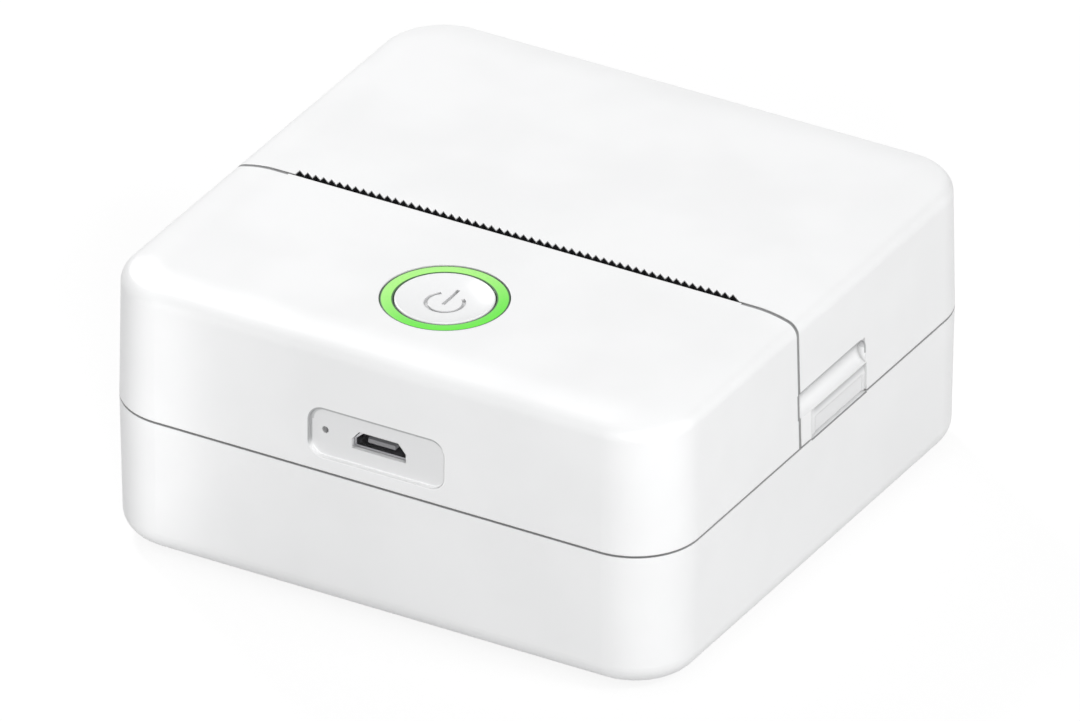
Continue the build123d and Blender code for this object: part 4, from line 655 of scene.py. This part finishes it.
# %% Helpers for pieces
def turned(profile, middle, segments=96, closed=False):
    """A round solid from (radius, height) pairs in mm, round the upright axis through middle.

    It is capped at both ends. With closed, the profile returns to its start instead, as a tube."""
    centre_x, centre_y = middle
    bpy.ops.object.select_all(action="DESELECT")
    radius, height = profile[0]
    bpy.ops.mesh.primitive_circle_add(
        vertices=segments, radius=radius * MM, location=(centre_x, centre_y, height * MM),
        fill_type="NOTHING" if closed else "NGON",
    )
    bpy.ops.object.mode_set(mode="EDIT")
    bpy.ops.mesh.select_mode(type="VERT")
    bpy.ops.mesh.select_all(action="SELECT")
    for next_radius, next_height in profile[1:] + (profile[:1] if closed else []):
        bpy.ops.mesh.extrude_region_move(
            TRANSFORM_OT_translate={"value": (0, 0, (next_height - height) * MM)}
        )
        grow = next_radius / radius
        bpy.ops.transform.resize(
            value=(grow, grow, 1), center_override=(centre_x, centre_y, next_height * MM)
        )
        radius, height = next_radius, next_height
    bpy.ops.mesh.select_all(action="SELECT")
    bpy.ops.mesh.remove_doubles(threshold=0.001 * MM)
    bpy.ops.mesh.normals_make_consistent(inside=False)
    bpy.ops.object.mode_set(mode="OBJECT")
    return bpy.context.object


def settle(piece, name, finish, body, *nodes, smooth=35):
    """Gives a finished piece its origin, name, finish and body, and the nodes it stands for."""
    bpy.ops.object.select_all(action="DESELECT")
    piece.select_set(True)
    bpy.context.view_layer.objects.active = piece
    bpy.ops.object.transform_apply(location=True, rotation=True, scale=True)
    bpy.ops.object.shade_smooth_by_angle(angle=radians(smooth))
    piece.name = piece.data.name = name
    piece.data.materials.clear()
    piece.data.materials.append(finish.material)
    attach(piece, body)
    if nodes:
        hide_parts(*nodes)
    print(name, "has", len(piece.data.polygons), "faces")


def copy_of(piece, shift):
    """A copy with a mesh of its own, moved by shift."""
    bpy.ops.object.select_all(action="DESELECT")
    twin = piece.copy()
    twin.data = piece.data.copy()
    bpy.context.collection.objects.link(twin)
    twin.location = piece.location + Vector(shift)
    return twin


# %% [markdown]
# ## Power button
#
# The real button is a moulded cap with a finger dish and a softly rounded rim. The CAD holds it
# as a cone, which a solid can do exactly; here the dish becomes the bowl of the photograph,
# flatter in the middle and steeper near the rim, whose left side lies in its own shade while
# the right side catches the light.

# %% Button cap
TOP = 37.55  # top face of the casing, mm
CAP_R, CAP_BOTTOM = 6.2, TOP - 2.6
STEM_R, STEM_BOTTOM = 1.6, 34.4
BOWL_R, BOWL_TOP, DISH = 5.9, TOP - 0.03, 0.66
BOWL_RADII = (5.7, 5.4, 5.0, 4.5, 3.9, 3.2, 2.4, 1.6, 0.8)

rim = [
    (CAP_R, TOP - 0.20), (CAP_R - 0.03, TOP - 0.10), (CAP_R - 0.09, TOP - 0.03),
    (CAP_R - 0.16, TOP - 0.005), (CAP_R - 0.23, TOP - 0.005), (BOWL_R, BOWL_TOP),
]
bowl = [(r, BOWL_TOP - DISH * (1 - (r / BOWL_R) ** 3)) for r in BOWL_RADII]
cap = turned(
    [(STEM_R, STEM_BOTTOM), (STEM_R, CAP_BOTTOM), (CAP_R, CAP_BOTTOM), *rim, *bowl],
    (BUTTON_X, BUTTON_Y),
)
print("dish is", DISH, "mm deep")

# %% [markdown]
# ## Power symbol
#
# The symbol is sunk into the dish: an open ring, and a bar that starts near its middle and runs
# out through the gap. The photograph shows each stroke dark along its upper left and light along
# its lower right, which is how a groove looks in light from the left. A cutter of the same
# outline is made from a flat ring and a flat bar, thickened, and taken away from the cap.

# %% Sunk power symbol
SIGN_R, STROKE = 2.35, 0.46
SIGN_GAP = 39  # degrees from the bar to each end of the open ring
SIGN_TOP, SIGN_FLOOR = TOP + 0.2, TOP - DISH - 0.27
BAR_LOW, BAR_HIGH = -0.45, 3.35

bpy.ops.object.select_all(action="DESELECT")
bpy.ops.mesh.primitive_circle_add(
    vertices=80, radius=(SIGN_R - STROKE / 2) * MM,
    location=(BUTTON_X, BUTTON_Y, SIGN_TOP * MM), fill_type="NOTHING",
)
sign = bpy.context.object
bpy.ops.object.mode_set(mode="EDIT")
bpy.ops.mesh.select_mode(type="VERT")
bpy.ops.mesh.select_all(action="SELECT")
bpy.ops.mesh.extrude_region_move()
widen = (SIGN_R + STROKE / 2) / (SIGN_R - STROKE / 2)
bpy.ops.transform.resize(
    value=(widen, widen, 1), center_override=(BUTTON_X, BUTTON_Y, SIGN_TOP * MM)
)
bpy.ops.object.mode_set(mode="OBJECT")
for face in sign.data.polygons:
    face.select = atan2(abs(face.center.x), face.center.y) < radians(SIGN_GAP)
bpy.ops.object.mode_set(mode="EDIT")
bpy.ops.mesh.select_mode(type="FACE")
bpy.ops.mesh.delete(type="FACE")
bpy.ops.mesh.primitive_plane_add(
    size=1 * MM, location=(BUTTON_X, BUTTON_Y + (BAR_LOW + BAR_HIGH) / 2 * MM, SIGN_TOP * MM)
)
bpy.ops.transform.resize(value=(STROKE, BAR_HIGH - BAR_LOW, 1))
bpy.ops.mesh.select_all(action="SELECT")
bpy.ops.mesh.normals_make_consistent(inside=False)
bpy.ops.mesh.extrude_region_move(
    TRANSFORM_OT_translate={"value": (0, 0, (SIGN_FLOOR - SIGN_TOP) * MM)}
)
bpy.ops.mesh.select_all(action="SELECT")
bpy.ops.mesh.normals_make_consistent(inside=False)
bpy.ops.object.mode_set(mode="OBJECT")

bpy.context.view_layer.objects.active = cap
sunk = cap.modifiers.new("sunk", "BOOLEAN")
sunk.object, sunk.operation, sunk.solver = sign, "DIFFERENCE", "EXACT"
bpy.ops.object.modifier_apply(modifier="sunk")
bpy.data.objects.remove(sign)
settle(cap, "button_cap", button_plastic, "power_button", "power_button")

# %% [markdown]
# ## Light ring
#
# Clear green plastic that carries the light of four lamps up to the top face. The real one has a
# slightly domed top; its paler left side and deeper right side are painted light in its finish.

# %% Ring
RING_TOP, RING_BOTTOM = 37.50, 32.3
DOME = ((0.0, 0.14), (0.07, 0.07), (0.35, 0.025))  # in from each side, and down from the top

ring_profile = [
    (RING_INNER, RING_BOTTOM),
    *((RING_INNER + inward, RING_TOP - down) for inward, down in DOME),
    (RING_MIDDLE, RING_TOP),
    *((RING_OUTER - inward, RING_TOP - down) for inward, down in reversed(DOME)),
    (RING_OUTER, RING_BOTTOM),
]
ring = turned(ring_profile, (BUTTON_X, BUTTON_Y), 128, closed=True)
settle(ring, "ring_light_pipe", green_light_pipe, "base", "light_ring")

# %% [markdown]
# ## Feet and case screws
#
# Four soft pads are stuck to the underside, each with a rounded edge and a slightly hollow
# middle, as punched rubber has. Beside them, deep in their holes, sit the cross-headed screws.
# The cross is cut with two thin blades. Each kind is modelled once and copied.

# %% Feet
FOOT_X, FOOT_Y = 27.0 * MM, 31.5 * MM
FOOT_PROFILE = [
    (2.4, 0.10), (2.9, 0.03), (3.2, 0.002), (3.6, 0.002),
    (3.85, 0.05), (3.97, 0.16), (4.0, 0.3), (4.0, 0.6),
]

foot = turned(FOOT_PROFILE, (-FOOT_X, -FOOT_Y), 64)
shifts = ((2 * FOOT_X, 0, 0), (0, 2 * FOOT_Y, 0), (2 * FOOT_X, 2 * FOOT_Y, 0))
other_feet = [copy_of(foot, shift) for shift in shifts]
for number, pad in enumerate([foot, *other_feet], 1):
    settle(pad, f"foot_{number}", foot_rubber, "base", "feet")

# %% Case screws
SCREW_X = 33.1
FRONT_Y, FRONT_SEAT, FRONT_TIP = -33.95, 11.0, 26.0
REAR_Y, REAR_SEAT, REAR_TIP = 29.0, 3.0, 11.0
HEAD_R, HEAD_H, SHANK_R, TIP_R, TIP_L = 1.8, 1.2, 1.0, 0.4, 1.2
BLADE = (2.0, 0.42, 1.3)


def case_screw(y, seat, tip):
    """A screw that points up, its pan head just under seat, with a cross cut into it."""
    screw = turned(
        [
            (1.2, seat - HEAD_H), (1.5, seat - 1.16), (1.7, seat - 1.04), (1.79, seat - 0.85),
            (HEAD_R, seat - 0.6), (HEAD_R, seat),
            (SHANK_R, seat), (SHANK_R, tip - TIP_L), (TIP_R, tip),
        ],
        (-SCREW_X * MM, y * MM), 40,
    )
    for turn in (0, pi / 2):
        bpy.ops.object.select_all(action="DESELECT")
        bpy.ops.mesh.primitive_cube_add(
            size=MM, location=(-SCREW_X * MM, y * MM, (seat - HEAD_H) * MM),
            rotation=(0, 0, turn), scale=BLADE,
        )
        blade = bpy.context.object
        bpy.context.view_layer.objects.active = screw
        cross = screw.modifiers.new("cross", "BOOLEAN")
        cross.object, cross.operation, cross.solver = blade, "DIFFERENCE", "EXACT"
        bpy.ops.object.modifier_apply(modifier="cross")
        bpy.data.objects.remove(blade)
    return screw


screws = []
for y, seat, tip in ((FRONT_Y, FRONT_SEAT, FRONT_TIP), (REAR_Y, REAR_SEAT, REAR_TIP)):
    screw = case_screw(y, seat, tip)
    screws += [screw, copy_of(screw, (2 * SCREW_X * MM, 0, 0))]
for number, screw in enumerate(screws, 1):
    settle(screw, f"case_screw_{number}", screw_steel, "base", "case_screws")

# %% [markdown]
# ## Finishes for the solids
#
# Each solid of the frame carries the name of its material, so one loop puts the finish of the
# same name on every solid that stays in view.

# %% Put the finishes on the solids
FINISHES = {
    finish.name: finish.material
    for finish in (
        white_plastic, button_plastic, black_plastic, bush_plastic, gear_plastic, chip_plastic,
        socket_grey, black_rubber, foot_rubber, steel, screw_steel, motor_steel, socket_steel,
        heatsink_metal, pinion_brass, board_laminate, cell_foil, strip_ceramic, led_resin,
        green_light_pipe,
    )
}
slot_of = {part["node"]: part["material_slot"] for part in frame["record"]["subparts"]}
for name, node in frame["nodes"].items():
    for slot in node.material_slots:
        slot.material = FINISHES[slot_of[name]]
print(len(frame["nodes"]), "solids have their finish")
